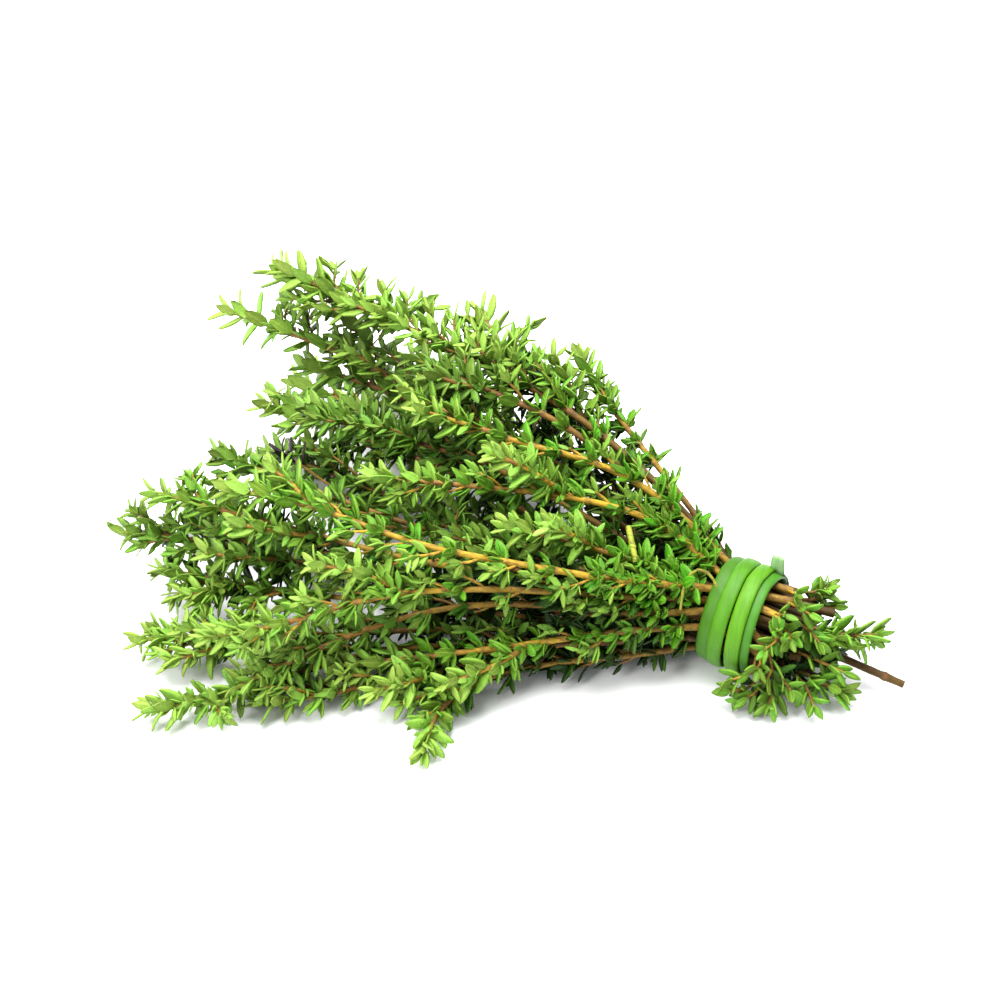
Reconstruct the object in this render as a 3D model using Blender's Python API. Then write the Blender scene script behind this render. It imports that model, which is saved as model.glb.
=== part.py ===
"""A bunch of fresh thyme lying on its side, tied with one green strap wound round it.

Every leafy sprig is one solid: its woody stem, its side shoots and its leaves. The
strap is one more. X runs along the bunch from the leaf tips to the cut ends, and
the origin is on the table under the strap.
"""

import math
import random

import bmesh
import bpy
from mathutils import Matrix, Vector, kdtree
from mathutils.bvhtree import BVHTree

MM = 0.001

# The strap: its turns lie round the stems at the narrowest place of the bunch
STRAP_RADIUS = 12.2 * MM
STRAP_WIDTH = 3.1 * MM
STRAP_THICKNESS = 1.3 * MM
STRAP_SIDES = 20
STRAP_TURNED = math.radians(-16)
# The strap's cross-section, six corners: through its thickness and across its width
STRAP_SECTION = [(1, 0.75), (0, 1), (-1, 0.75), (-1, -0.75), (0, -1), (1, -0.75)]
# Each turn's place along the bunch at the top and at the bottom, and how far it lies in
STRAP_TURNS = [
    (0.8 * MM, -2.9 * MM, 0.35 * MM),
    (2.0 * MM, 0.0, 0.0),
    (3.6 * MM, 2.6 * MM, 0.4 * MM),
    (6.4 * MM, 5.3 * MM, 0.0),
]
# Its free end stands up behind: where it comes out, and how long and how wide it is
TAIL_PLACE = (6.2 * MM, 5.0 * MM, 22.4 * MM)
TAIL_LENGTH = 8 * MM
TAIL_WIDTH = 2.6 * MM
TAIL_THICKNESS = 1.0 * MM
TAIL_LEANS = 0.35
TAIL_NARROWS = 0.45
TAIL_SIDES = 8
SMOOTH_UNDER = 40

# Rows of stems inside the strap: height over its middle, and each place across
ROWS = {
    "top": (8.5, (-3.8, 0.0, 3.8)),
    "high": (5.1, (-7.4, -3.7, 0.0, 3.7, 7.4)),
    "upper": (1.7, (-9.0, -5.4, -1.8, 1.8, 5.4, 9.0)),
    "lower": (-1.7, (-9.0, -5.4, -1.8, 1.8, 5.4, 9.0)),
    "low": (-5.1, (-7.4, -3.7, 0.0, 3.7, 7.4)),
    "bottom": (-8.5, (-3.8, 0.0, 3.8)),
}

# Each sprig: row and place in the strap, stem thickness there, cut end, and its way
# from the strap out to its tip. Millimetres, chosen by eye from the photograph
SPRIGS = [
    ("high", 4, 1.9, (12, 5, 17),
     [(-21, 17, 28), (-42, 26, 36), (-66, 33, 41), (-92, 41, 42), (-123, 53, 40)]),
    ("lower", 5, 1.7, (15, 6, 8.5),
     [(-40, 25, 19), (-83, 37, 26), (-108, 43, 29), (-133, 48, 30)]),
    ("lower", 4, 2.0, (13, 3, 9),
     [(-38, 20, 17), (-76, 35, 22), (-97, 41, 22), (-114, 45, 20)]),
    ("lower", 3, 1.7, (37, -2, 3),
     [(-36, 10, 14), (-71, 21, 18), (-92, 27, 17), (-120, 35, 15)]),
    ("low", 3, 1.6, (14, 1, 4.5),
     [(-45, 9, 9), (-82, 17, 10), (-101, 23, 9), (-117, 27, 8)]),
    ("lower", 2, 1.7, (21, -5, 7),
     [(-34, -8, 19), (-71, -15, 24), (-101, -14, 26), (-130, -10, 24)]),
    ("top", 0, 1.6, (10, -7, 20.5),
     [(-21, -12, 27), (-41, -18, 32), (-69, -21, 35), (-88, -16, 35), (-111, -13, 32)]),
    ("low", 2, 1.7, (13, -2, 4),
     [(-45, -6, 12), (-95, -14, 16), (-122, -13, 15), (-138, -13, 13)]),
    ("lower", 1, 1.6, (15, -6, 9),
     [(-34, -12, 12), (-67, -17, 13), (-95, -19, 11), (-126, -18, 9)]),
    ("high", 1, 1.6, (12, -5, 16),
     [(-19, -11, 22), (-46, -20, 26), (-73, -30, 26), (-93, -41, 21), (-104, -45, 20)]),
    ("high", 0, 1.6, (8, -10, 13.5),
     [(-16, -12, 19), (-38, -16, 20), (-60, -21, 18), (-85, -36, 12), (-99, -48, 8)]),
    ("lower", 0, 1.6, (12, -10, 8),
     [(-30, -16, 10), (-59, -23, 9), (-84, -34, 7), (-103, -49, 5), (-115, -54, 4)]),
    ("low", 1, 1.6, (18, -6, 5),
     [(-35, -11, 8), (-68, -21, 9), (-95, -31, 8), (-124, -37, 6)]),
    ("upper", 0, 1.6, (7, -10.5, 10.5),
     [(-14, -12, 16), (-39, -21, 13), (-60, -28, 10), (-80, -35, 8)]),
    ("low", 0, 1.5, (18, -10, 2.5),
     [(-15, -10, 6), (-31, -17, 6), (-47, -24, 5), (-58, -39, 4), (-56, -49, 3)]),
    ("top", 1, 1.6, (13, -1, 20),
     [(-16, 7, 27), (-37, 3, 34), (-60, -4, 38), (-80, -7, 38)]),
    ("top", 2, 1.7, (11, 1.5, 20.5),
     [(-16, 11, 28), (-33, 13, 36), (-54, 9, 41), (-80, 17, 43)]),
    ("upper", 4, 1.7, (14, 3, 12),
     [(-22, 18, 22), (-44, 29, 31), (-59, 36, 36), (-73, 52, 40)]),
    ("high", 3, 1.9, (20, 3, 15),
     [(-21, 13, 27), (-33, 17, 34), (-48, 21, 40), (-64, 22, 43), (-81, 26, 45)]),
    ("upper", 5, 1.6, (12, 6.5, 12.5),
     [(-14, 18, 22), (-26, 26, 28), (-38, 35, 33), (-48, 46, 37)]),
    ("high", 2, 1.5, (15, -2, 15.5),
     [(-14, -2, 22), (-25, -6, 28), (-36, -8, 32), (-49, -11, 35)]),
    ("upper", 1, 1.5, (14, -7, 12.5),
     [(-15, -11, 17), (-32, -14, 23), (-45, -15, 27), (-58, -17, 31)]),
    ("upper", 2, 1.7, (17, -3.5, 11.5),
     [(-35, -3, 19), (-70, -5, 24), (-103, 2, 24), (-121, 6, 24)]),
    ("upper", 3, 1.7, (23, 0, 10),
     [(-30, 9, 20), (-60, 15, 28), (-85, 14, 32), (-103, 16, 33)]),
    ("low", 4, 1.6, (13, 5, 6),
     [(-28, 23, 10), (-60, 42, 10), (-88, 56, 9), (-106, 64, 8)]),
    ("bottom", 0, 1.6, (12, -7, 2.5),
     [(-30, -13, 4), (-60, -27, 5), (-84, -42, 4), (-94, -46, 4)]),
    ("bottom", 1, 1.6, (15, -3.5, 2.5),
     [(-35, -2, 4), (-75, -2, 5), (-103, 2, 5), (-128, 3, 4)]),
    ("bottom", 2, 1.6, (12, 1, 3),
     [(-35, 14, 5), (-72, 33, 8), (-98, 47, 7), (-120, 56, 5)]),
]
# Short leafy twigs that stick out past the strap among the cut ends: the sprig and the tip
BUTT_TWIGS = [(23, (31, 4, 13)), (12, (26, -10, 4)), (14, (11, -19, 3)), (19, (17, 10, 20))]

# Stems: they taper to the tip, run straight through the strap and bend freely a little way out
TIP_THICKNESS = 0.9 * MM
TAPER_STARTS = 0.15
STEM_STEP = 2 * MM
STEM_POINT_EVERY = 7
HELD_POINT_EVERY = 3
HELD_BEFORE = 4 * MM
HELD_AFTER = 6.5 * MM
FREE_WITHIN = 5 * MM

# How stems that would touch are bent clear of each other, and kept off the table
STEM_GAP = 0.7 * MM
NEIGHBOURS_WITHIN = 3.2 * MM
BENDING_PASSES = 80
BENDING_SPREADS = 2
BENDING_EVENS_OUT = 0.2
TABLE_GAP = 0.2 * MM

# Side shoots: where each one leaves its stem, from the tip, and how long it is
SHOOTS_FROM_TIP = (20 * MM, 42 * MM)
SHOOT_LENGTHS = (14 * MM, 20 * MM)
SHOOT_THICKNESS = 1.1 * MM
SHOOT_ROOM = 3.4 * MM
SHOOT_NEAREST = 2.3 * MM
SHOOT_TURNS = 12
SHOOT_TIP_LOWEST = 2.5 * MM
SHOOTS_ON_OUTER_SHARE = 0.5
SHOOT_GOES_FORWARD = (0.68, 0.2)
SHOOT_GOES_OUT = (0.62, -0.2)

# Leaves: they sit in opposite pairs, each pair a quarter turn from the last one
LEAF_LENGTH = 7.2 * MM
LEAF_WIDTH = 2.4 * MM
LEAF_THICKNESS = 0.8 * MM
LEAF_LENGTHS_VARY = (0.85, 1.12)
LEAF_WIDTHS_VARY = (0.9, 1.1)
LEAF_BENDS = (0.0, 0.25)
LEAF_OPENS = (38, 62)
LEAF_AZIMUTHS = (20, 60)
# The youngest leaves, in the first pairs at a tip, are shorter and more closed
YOUNG_PAIRS = 3
YOUNG_SHORTER = 0.15
YOUNG_CLOSED = 16
# A blade is fullest at its middle ring, or at the lower one of two
OLD_RINGS = 2
YOUNG_RINGS = 3
BLADE_FULLNESS = 1.25
YOUNG_BLADE_FULLNESS = (1.15, 1.0)
FIRST_PAIR = 1.5 * MM
PAIR_GAP = 3.8 * MM
PAIR_GAP_GROWS = 4.0 * MM
PAIR_GAP_LONGEST = 22 * MM
SHOOT_LEAFY_SHARE = 0.6
BARE_CUT_END = 5 * MM
CLEARANCE = 0.25 * MM
TRIES = 15
TRY_TURN = math.radians(13)
LEAVES_WITHIN = 16 * MM


def clear_scene():
    for item in list(bpy.data.objects):
        bpy.data.objects.remove(item, do_unlink=True)


def new_collection(name):
    collection = bpy.data.collections.new(name)
    bpy.context.scene.collection.children.link(collection)
    return collection


def finish(name, colour, roughness):
    """A plain material with the piece's colour and finish."""
    material = bpy.data.materials.new(name)
    material.use_nodes = True
    surface = material.node_tree.nodes["Principled BSDF"]
    surface.inputs["Base Color"].default_value = (*colour, 1)
    surface.inputs["Roughness"].default_value = roughness
    surface.inputs["Metallic"].default_value = 0.0
    return material


def strap_axis():
    return Vector((math.cos(STRAP_TURNED), math.sin(STRAP_TURNED), 0))


def place_in_strap(row, place):
    height, across = ROWS[row]
    side = Vector((-math.sin(STRAP_TURNED), math.cos(STRAP_TURNED), 0))
    middle = Vector((0, 0, STRAP_RADIUS))
    return middle + side * across[place] * MM + Vector((0, 0, height * MM))


def smooth_route(points, step):
    """Points a step apart on one smooth curve through the given ones."""
    gaps = [(b - a).length for a, b in zip(points, points[1:])]
    tangents = [(points[1] - points[0]) / gaps[0]]
    for i in range(1, len(points) - 1):
        before = (points[i] - points[i - 1]) / gaps[i - 1]
        after = (points[i + 1] - points[i]) / gaps[i]
        tangents.append((before * gaps[i] + after * gaps[i - 1]) / (gaps[i] + gaps[i - 1]))
    tangents.append((points[-1] - points[-2]) / gaps[-1])
    fine = [points[0]]
    for i, gap in enumerate(gaps):
        pieces = max(2, round(gap / (step / 8)))
        for k in range(1, pieces + 1):
            t = k / pieces
            a = points[i] * (2 * t**3 - 3 * t**2 + 1) + tangents[i] * gap * (t**3 - 2 * t**2 + t)
            b = points[i + 1] * (3 * t**2 - 2 * t**3) + tangents[i + 1] * gap * (t**3 - t**2)
            fine.append(a + b)
    length = sum((b - a).length for a, b in zip(fine, fine[1:]))
    count = round(length / step)
    even, travelled, wanted = [fine[0]], 0.0, length / count
    for a, b in zip(fine, fine[1:]):
        travelled += (b - a).length
        if travelled >= wanted * len(even) - 1e-9 and len(even) <= count:
            even.append(b)
    even[-1] = fine[-1]
    return even


def stem_routes():
    """One list of points for each sprig, from its cut end to its tip."""
    routes = []
    for row, place, thickness, cut_end, way in SPRIGS:
        held = place_in_strap(row, place)
        inside = [held + strap_axis() * HELD_AFTER, held - strap_axis() * HELD_BEFORE]
        points = [Vector(cut_end) * MM] + inside + [Vector(point) * MM for point in way]
        routes.append(smooth_route(points, STEM_STEP))
    return routes


def side_shoots(routes):
    """Short shoots off the stems, each turned to where the bunch has most room: (sprig, points)."""
    shoots = []
    taken = [(point, sprig) for sprig, route in enumerate(routes) for point in route]
    for sprig, route in enumerate(routes):
        for number, (from_tip, length) in enumerate(zip(SHOOTS_FROM_TIP, SHOOT_LENGTHS)):
            if (sprig + number) % 2 or from_tip > SHOOTS_ON_OUTER_SHARE * len(route) * STEM_STEP:
                continue
            index = len(route) - 1 - round(from_tip / STEM_STEP)
            tangent = (route[index + 1] - route[index - 1]).normalized()
            best, best_room = None, SHOOT_ROOM
            for turn in range(SHOOT_TURNS):
                points = shoot_points(route[index], tangent, math.tau * turn / SHOOT_TURNS, length)
                if points[-1].z < SHOOT_TIP_LOWEST:
                    continue
                near = [(q, other) for q, other in taken if (points[-1] - q).length < 2 * length]
                outer = points[len(points) // 2 :]
                room = min((p - q).length for p in outer for q, _ in near)
                others = [q for q, other in near if other != sprig]
                nearest = min(((p - q).length for p in points for q in others), default=1.0)
                if room > best_room and nearest > SHOOT_NEAREST:
                    best, best_room = points, room
            if best:
                shoots.append((sprig, best))
                taken += [(point, sprig) for point in best]
    return shoots + [(sprig, butt_twig(routes[sprig], Vector(tip) * MM)) for sprig, tip in BUTT_TWIGS]


def butt_twig(route, tip):
    """A twig that leaves its stem just past the strap, going its way at first, and bends to its tip."""
    start = next(point for point in reversed(route) if point.dot(strap_axis()) > HELD_AFTER + 1 * MM)
    ahead = start + strap_axis() * (tip - start).length / 2
    return smooth_route([start, ahead.lerp(tip, 0.45), tip], STEM_STEP)


def shoot_points(start, tangent, azimuth, length):
    """A shoot leaves its stem sideways and bends forward along it."""
    out = sideways(tangent, azimuth)
    count = round(length / STEM_STEP)
    points = []
    for i in range(count + 1):
        t = i / count
        forward = SHOOT_GOES_FORWARD[0] * t + SHOOT_GOES_FORWARD[1] * t**2
        outward = SHOOT_GOES_OUT[0] * t + SHOOT_GOES_OUT[1] * t**2
        points.append(start + (tangent * forward + out * outward) * length)
    return points


def sideways(tangent, azimuth):
    """The way out of a stem, at an angle round it from its level side."""
    flat = tangent.cross(Vector((0, 0, 1))).normalized()
    return flat * math.cos(azimuth) + flat.cross(tangent) * math.sin(azimuth)


def thickness_at(sprig, index, count):
    """A stem is thickest at the strap and tapers to its tip."""
    base = SPRIGS[sprig][2] * MM
    along = max(0.0, index / (count - 1) - TAPER_STARTS) / (1 - TAPER_STARTS)
    return base + (TIP_THICKNESS - base) * along


def freedom(point):
    """How freely a stem bends there: not at all inside the strap, fully a little way out."""
    along = point.dot(strap_axis())
    out = max(along - HELD_AFTER, -HELD_BEFORE - along)
    return min(1.0, max(0.0, out / FREE_WITHIN))


def bend_clear(routes):
    """Bends stems that would touch away from each other."""
    owners = [(s, i) for s, route in enumerate(routes) for i in range(len(route))]
    for _ in range(BENDING_PASSES):
        tree = kdtree.KDTree(len(owners))
        for number, (s, i) in enumerate(owners):
            tree.insert(routes[s][i], number)
        tree.balance()
        pushes = [[Vector() for _ in route] for route in routes]
        for s, i in owners:
            point = routes[s][i]
            for other, number, distance in tree.find_range(point, NEIGHBOURS_WITHIN):
                t, j = owners[number]
                if t == s:
                    continue
                radii = thickness_at(s, i, len(routes[s])) + thickness_at(t, j, len(routes[t]))
                short = radii / 2 + STEM_GAP - distance
                if short > pushes[s][i].length * 2:
                    away = point - other
                    away = away.normalized() if away.length > 1e-7 else Vector((0, 0, 1 if s > t else -1))
                    pushes[s][i] = away * short * 0.5
        for s, route in enumerate(routes):
            moved = []
            for i, point in enumerate(route):
                first, last = max(0, i - BENDING_SPREADS), i + BENDING_SPREADS
                push = max(pushes[s][first : last + 1], key=lambda item: item.length)
                point = point + push * freedom(point)
                point.z = max(point.z, thickness_at(s, i, len(route)) / 2 + TABLE_GAP)
                moved.append(point)
            for i in range(1, len(route) - 1):
                even = (moved[i - 1] + moved[i + 1]) / 2
                route[i] = moved[i].lerp(even, BENDING_EVENS_OUT * freedom(route[i]))
            route[0], route[-1] = moved[0], moved[-1]
    return routes


def bends_of(route):
    """The points that a stem's mesh keeps: closer together where the strap holds it."""
    keep = [0]
    for i, point in enumerate(route[:-1]):
        every = STEM_POINT_EVERY if freedom(point) == 1 else HELD_POINT_EVERY
        if i - keep[-1] >= every:
            keep.append(i)
    return keep + [len(route) - 1]


def rod(name, points, thicknesses, collection):
    """A round rod along the points, as a mesh: made from a curve, its caps welded on."""
    curve = bpy.data.curves.new(name, "CURVE")
    curve.dimensions = "3D"
    curve.bevel_depth = 1.0
    curve.bevel_resolution = 0
    curve.use_fill_caps = True
    spline = curve.splines.new("POLY")
    spline.points.add(len(points) - 1)
    for item, point, thickness in zip(spline.points, points, thicknesses):
        item.co = (*point, 1)
        item.radius = thickness / 2
    guide = bpy.data.objects.new(name + "_guide", curve)
    collection.objects.link(guide)
    bpy.context.view_layer.update()
    graph = bpy.context.evaluated_depsgraph_get()
    mesh = bpy.data.meshes.new_from_object(guide.evaluated_get(graph))
    shape = bmesh.new()
    shape.from_mesh(mesh)
    bmesh.ops.remove_doubles(shape, verts=shape.verts, dist=1e-6)
    bmesh.ops.recalc_face_normals(shape, faces=shape.faces)
    shape.to_mesh(mesh)
    shape.free()
    piece = bpy.data.objects.new(name, mesh)
    piece.matrix_world = guide.matrix_world
    collection.objects.link(piece)
    bpy.data.objects.remove(guide, do_unlink=True)
    bpy.data.curves.remove(curve)
    return piece


def blade(rings):
    """A leaf before it is placed: a stretched ball, its length along Z from 0 to 1."""
    shape = bmesh.new()
    bmesh.ops.create_uvsphere(shape, u_segments=4, v_segments=rings, radius=1.0)
    for vertex in shape.verts:
        vertex.co.z = (vertex.co.z + 1) / 2
    return shape


def leaf_mesh(leaf, rings, spare=0.0):
    """The leaf's mesh in place. With spare it is that much bigger all round."""
    shape = blade(rings)
    length = leaf["length"] + spare
    for vertex in shape.verts:
        x, y, along = vertex.co
        fullness = BLADE_FULLNESS if rings == OLD_RINGS else YOUNG_BLADE_FULLNESS[along > 0.5]
        centre = leaf["root"] + leaf["way"] * length * along
        centre -= leaf["face"] * leaf["bend"] * length * along**2
        across = leaf["side"] * x * (leaf["width"] / 2 + spare) * fullness
        through = leaf["face"] * y * (LEAF_THICKNESS / 2 + spare) * fullness
        vertex.co = centre + across + through
    mesh = bpy.data.meshes.new("leaf")
    shape.to_mesh(mesh)
    tree = BVHTree.FromBMesh(shape)
    lowest = min(vertex.co.z for vertex in shape.verts)
    shape.free()
    return mesh, tree, lowest


def make_leaf(root, tangent, azimuth, opening, length, width, bend):
    """A leaf's frame: the way it points, its upper face and its side."""
    out = sideways(tangent, azimuth)
    way = tangent * math.cos(opening) + out * math.sin(opening)
    face = tangent * math.sin(opening) - out * math.cos(opening)
    return {
        "root": root,
        "way": way,
        "face": face,
        "side": face.cross(way),
        "length": length,
        "width": width,
        "bend": bend,
    }


def leaf_pairs(route, reach):
    """Where pairs of leaves sit, from the tip: the point, the way of the stem and the pair's number."""
    step = (route[1] - route[0]).length
    from_tip, gap, number = FIRST_PAIR, PAIR_GAP, 0
    pairs = []
    while from_tip < reach:
        index = min(len(route) - 1 - round(from_tip / step), len(route) - 2)
        point = route[index]
        tangent = (route[index + 1] - route[index - 1]).normalized()
        if freedom(point) > 0:
            pairs.append((point, tangent, number))
        number += 1
        from_tip += gap
        gap = min(gap + PAIR_GAP_GROWS, PAIR_GAP_LONGEST)
    return pairs


def place_leaves(branches, stem_trees, strap_tree):
    """The leaves, each turned until it is clear of the other sprigs, or left off."""
    placed = []
    for branch, (sprig, route, reach) in enumerate(branches):
        chance = random.Random(100 + branch)
        for point, tangent, number in leaf_pairs(route, reach):
            for half in (0, 1):
                rings = OLD_RINGS if number else YOUNG_RINGS
                young = max(0.0, 1 - number / YOUNG_PAIRS)
                length = LEAF_LENGTH * chance.uniform(*LEAF_LENGTHS_VARY) * (1 - YOUNG_SHORTER * young)
                width = LEAF_WIDTH * chance.uniform(*LEAF_WIDTHS_VARY)
                bend = chance.uniform(*LEAF_BENDS)
                opening = math.radians(chance.uniform(*LEAF_OPENS) - YOUNG_CLOSED * young)
                quarter = math.pi / 2 * (2 * half + number)
                azimuth = quarter + math.radians(chance.uniform(*LEAF_AZIMUTHS))
                for attempt in range(TRIES):
                    turn = TRY_TURN * ((attempt + 1) // 2) * (-1) ** attempt
                    leaf = make_leaf(point, tangent, azimuth + turn, opening, length, width, bend)
                    mesh, tree, lowest = leaf_mesh(leaf, rings, CLEARANCE)
                    bpy.data.meshes.remove(mesh)
                    if lowest < -CLEARANCE or tree.overlap(strap_tree):
                        continue
                    if any(owner != sprig and tree.overlap(other) for owner, other in stem_trees):
                        continue
                    near = (t for s, at, t in placed if s != sprig and (at - point).length < LEAVES_WITHIN)
                    if any(tree.overlap(other) for other in near):
                        continue
                    mesh, tree, lowest = leaf_mesh(leaf, rings)
                    placed.append((sprig, point, tree))
                    yield sprig, mesh
                    break


def fuse(piece, collection):
    """Unites the piece with everything in the collection, which is then removed."""
    join = piece.modifiers.new("join", "BOOLEAN")
    join.operation = "UNION"
    join.operand_type = "COLLECTION"
    join.collection = collection
    join.solver = "MANIFOLD"
    bpy.context.view_layer.objects.active = piece
    bpy.ops.object.modifier_apply(modifier=join.name)
    for item in list(collection.objects):
        bpy.data.objects.remove(item, do_unlink=True)
    bpy.data.collections.remove(collection)
    keep_main_body(piece)


def keep_main_body(piece):
    """Fills what the union sealed in and drops any loose scrap: only the largest skin stays."""
    shape = bmesh.new()
    shape.from_mesh(piece.data)
    skins, seen = [], set()
    for start in shape.verts:
        if start in seen:
            continue
        skin, ahead = {start}, [start]
        while ahead:
            for edge in ahead.pop().link_edges:
                for vertex in edge.verts:
                    if vertex not in skin:
                        skin.add(vertex)
                        ahead.append(vertex)
        seen |= skin
        skins.append(skin)
    largest = max(skins, key=len)
    spare = [vertex for skin in skins if skin is not largest for vertex in skin]
    bmesh.ops.delete(shape, geom=spare, context="VERTS")
    shape.to_mesh(piece.data)
    shape.free()


def strap_turn(name, top, bottom, lies_in, collection):
    """One turn of the strap: a flat-faced ring, its place along the bunch shifting from top to bottom."""
    bpy.ops.mesh.primitive_torus_add(
        major_segments=STRAP_SIDES, minor_segments=len(STRAP_SECTION), major_radius=1.0, minor_radius=0.1
    )
    ring = bpy.context.object
    ring.name = name
    for owner in list(ring.users_collection):
        owner.objects.unlink(ring)
    collection.objects.link(ring)
    middle_radius = (STRAP_RADIUS - lies_in) / math.cos(math.pi / STRAP_SIDES) - STRAP_THICKNESS / 2
    turn = Matrix.Rotation(STRAP_TURNED, 3, "Z")
    for vertex in ring.data.vertices:
        through, across = STRAP_SECTION[vertex.index % len(STRAP_SECTION)]
        around = math.atan2(vertex.co.y, vertex.co.x) + math.pi / STRAP_SIDES
        radius = middle_radius + STRAP_THICKNESS / 2 * through
        height = radius * math.sin(around)
        share = (height / STRAP_RADIUS + 1) / 2
        place = bottom + (top - bottom) * share + STRAP_WIDTH / 2 * across
        vertex.co = turn @ Vector((place, radius * math.cos(around), height))
        vertex.co.z += STRAP_RADIUS
    shape = bmesh.new()
    shape.from_mesh(ring.data)
    bmesh.ops.recalc_face_normals(shape, faces=shape.faces)
    shape.to_mesh(ring.data)
    shape.free()
    return ring


def strap_tail(name, collection):
    """The free end: a flat blade that rises out of the turns and leans back to a blunt point."""
    bpy.ops.mesh.primitive_cylinder_add(vertices=TAIL_SIDES, radius=1.0, depth=1.0)
    tail = bpy.context.object
    tail.name = name
    for owner in list(tail.users_collection):
        owner.objects.unlink(tail)
    collection.objects.link(tail)
    along, across, height = TAIL_PLACE
    turn = Matrix.Rotation(STRAP_TURNED, 3, "Z")
    for vertex in tail.data.vertices:
        x, y, z = vertex.co
        up = z + 0.5
        narrow = 1.0 - TAIL_NARROWS * up
        place = Vector((along, across, height)) + Vector((0, TAIL_LEANS * up, up)) * TAIL_LENGTH
        place += Vector((x * TAIL_WIDTH, y * TAIL_THICKNESS, 0)) * narrow / 2
        vertex.co = turn @ place
    return tail


def strap(collection, material):
    """The strap: four turns pressed together, with its free end standing up behind."""
    helpers = new_collection("strap turns")
    turns = [
        strap_turn(f"strap_turn_{number}", top, bottom, lies_in, helpers)
        for number, (top, bottom, lies_in) in enumerate(STRAP_TURNS)
    ]
    strap_tail("strap_tail", helpers)
    piece = turns[0]
    helpers.objects.unlink(piece)
    collection.objects.link(piece)
    piece.name = "strap"
    fuse(piece, helpers)
    bpy.ops.object.select_all(action="DESELECT")
    piece.select_set(True)
    bpy.ops.object.shade_smooth_by_angle(angle=math.radians(SMOOTH_UNDER))
    piece.data.materials.clear()
    piece.data.materials.append(material)
    return piece


def tree_of(mesh):
    shape = bmesh.new()
    shape.from_mesh(mesh)
    tree = BVHTree.FromBMesh(shape)
    shape.free()
    return tree


def main():
    clear_scene()
    bunch = new_collection("thyme_bundle")
    green = finish("thyme leaf and stem", (0.13, 0.24, 0.03), 0.55)
    bright = finish("green strap", (0.22, 0.52, 0.03), 0.4)
    band = strap(bunch, bright)
    routes = bend_clear(stem_routes())
    stems, stem_trees, branches = [], [], []
    for sprig, route in enumerate(routes):
        count = len(route)
        keep = bends_of(route)
        thicknesses = [thickness_at(sprig, i, count) for i in keep]
        piece = rod(f"sprig_{sprig + 1:02d}", [route[i] for i in keep], thicknesses, bunch)
        piece.data.materials.append(green)
        stem_trees.append((sprig, tree_of(piece.data)))
        stems.append(piece)
        branches.append((sprig, route, len(route) * STEM_STEP - BARE_CUT_END))
    groups = [new_collection(f"leaves {sprig}") for sprig in range(len(routes))]
    for number, (sprig, route) in enumerate(side_shoots(routes)):
        keep = bends_of(route)
        thicknesses = [SHOOT_THICKNESS + (TIP_THICKNESS - SHOOT_THICKNESS) * i / keep[-1] for i in keep]
        shoot = rod(f"shoot_{number}", [route[i] for i in keep], thicknesses, groups[sprig])
        stem_trees.append((sprig, tree_of(shoot.data)))
        branches.append((sprig, route, len(route) * STEM_STEP * SHOOT_LEAFY_SHARE))
    for sprig, mesh in place_leaves(branches, stem_trees, tree_of(band.data)):
        groups[sprig].objects.link(bpy.data.objects.new("leaf", mesh))
    for piece, group in zip(stems, groups):
        fuse(piece, group)


main()
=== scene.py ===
"""A bunch of fresh thyme lying on its side, tied with a green strap, in its final looks."""

import math
import random

import bmesh
import bpy
from mathutils import Matrix, Vector, kdtree


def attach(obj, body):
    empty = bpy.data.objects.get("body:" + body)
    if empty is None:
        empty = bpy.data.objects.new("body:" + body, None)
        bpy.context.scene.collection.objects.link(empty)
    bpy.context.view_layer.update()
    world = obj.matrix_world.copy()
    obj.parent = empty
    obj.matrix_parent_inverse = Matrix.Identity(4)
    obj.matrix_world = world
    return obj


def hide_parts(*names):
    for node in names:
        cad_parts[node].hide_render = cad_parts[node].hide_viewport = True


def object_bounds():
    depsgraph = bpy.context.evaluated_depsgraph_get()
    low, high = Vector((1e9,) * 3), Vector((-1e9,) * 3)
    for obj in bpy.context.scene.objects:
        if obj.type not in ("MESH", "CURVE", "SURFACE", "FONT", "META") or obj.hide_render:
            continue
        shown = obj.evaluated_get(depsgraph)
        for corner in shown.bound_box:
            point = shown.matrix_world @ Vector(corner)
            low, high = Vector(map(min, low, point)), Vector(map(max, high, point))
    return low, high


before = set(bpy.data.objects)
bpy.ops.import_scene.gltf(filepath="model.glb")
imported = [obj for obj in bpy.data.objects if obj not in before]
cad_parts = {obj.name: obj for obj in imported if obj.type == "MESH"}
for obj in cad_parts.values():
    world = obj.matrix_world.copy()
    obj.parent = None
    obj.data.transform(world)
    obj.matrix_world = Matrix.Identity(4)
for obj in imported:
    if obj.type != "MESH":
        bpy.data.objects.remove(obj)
solid_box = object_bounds()
MM = 0.001

# The view: the bunch is looked down on from the front, a little from the side of its
# cut ends, through a long lens.
VIEW_TURNED = math.radians(16)
VIEW_DOWN = math.radians(42)
VIEW_DISTANCE = 597.2 * MM
VIEW_AIM = Vector((-53.9, 1.5, 30.6)) * MM

view_right = Vector((math.cos(VIEW_TURNED), math.sin(VIEW_TURNED), 0))
view_level = Vector((math.sin(VIEW_TURNED), -math.cos(VIEW_TURNED), 0))
view_back = view_level * math.cos(VIEW_DOWN) + Vector((0, 0, math.sin(VIEW_DOWN)))
bpy.ops.object.select_all(action="DESELECT")
bpy.ops.object.camera_add(location=VIEW_AIM + view_back * VIEW_DISTANCE)
camera = bpy.context.object
camera_axes = Matrix((view_right, view_back.cross(view_right), view_back)).transposed()
camera.rotation_euler = camera_axes.to_euler()
camera.data.lens = 100
camera.data.sensor_width = 36
camera.data.clip_start = 0.01
bpy.context.scene.camera = camera
bpy.context.scene.view_settings.view_transform = "Standard"

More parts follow.
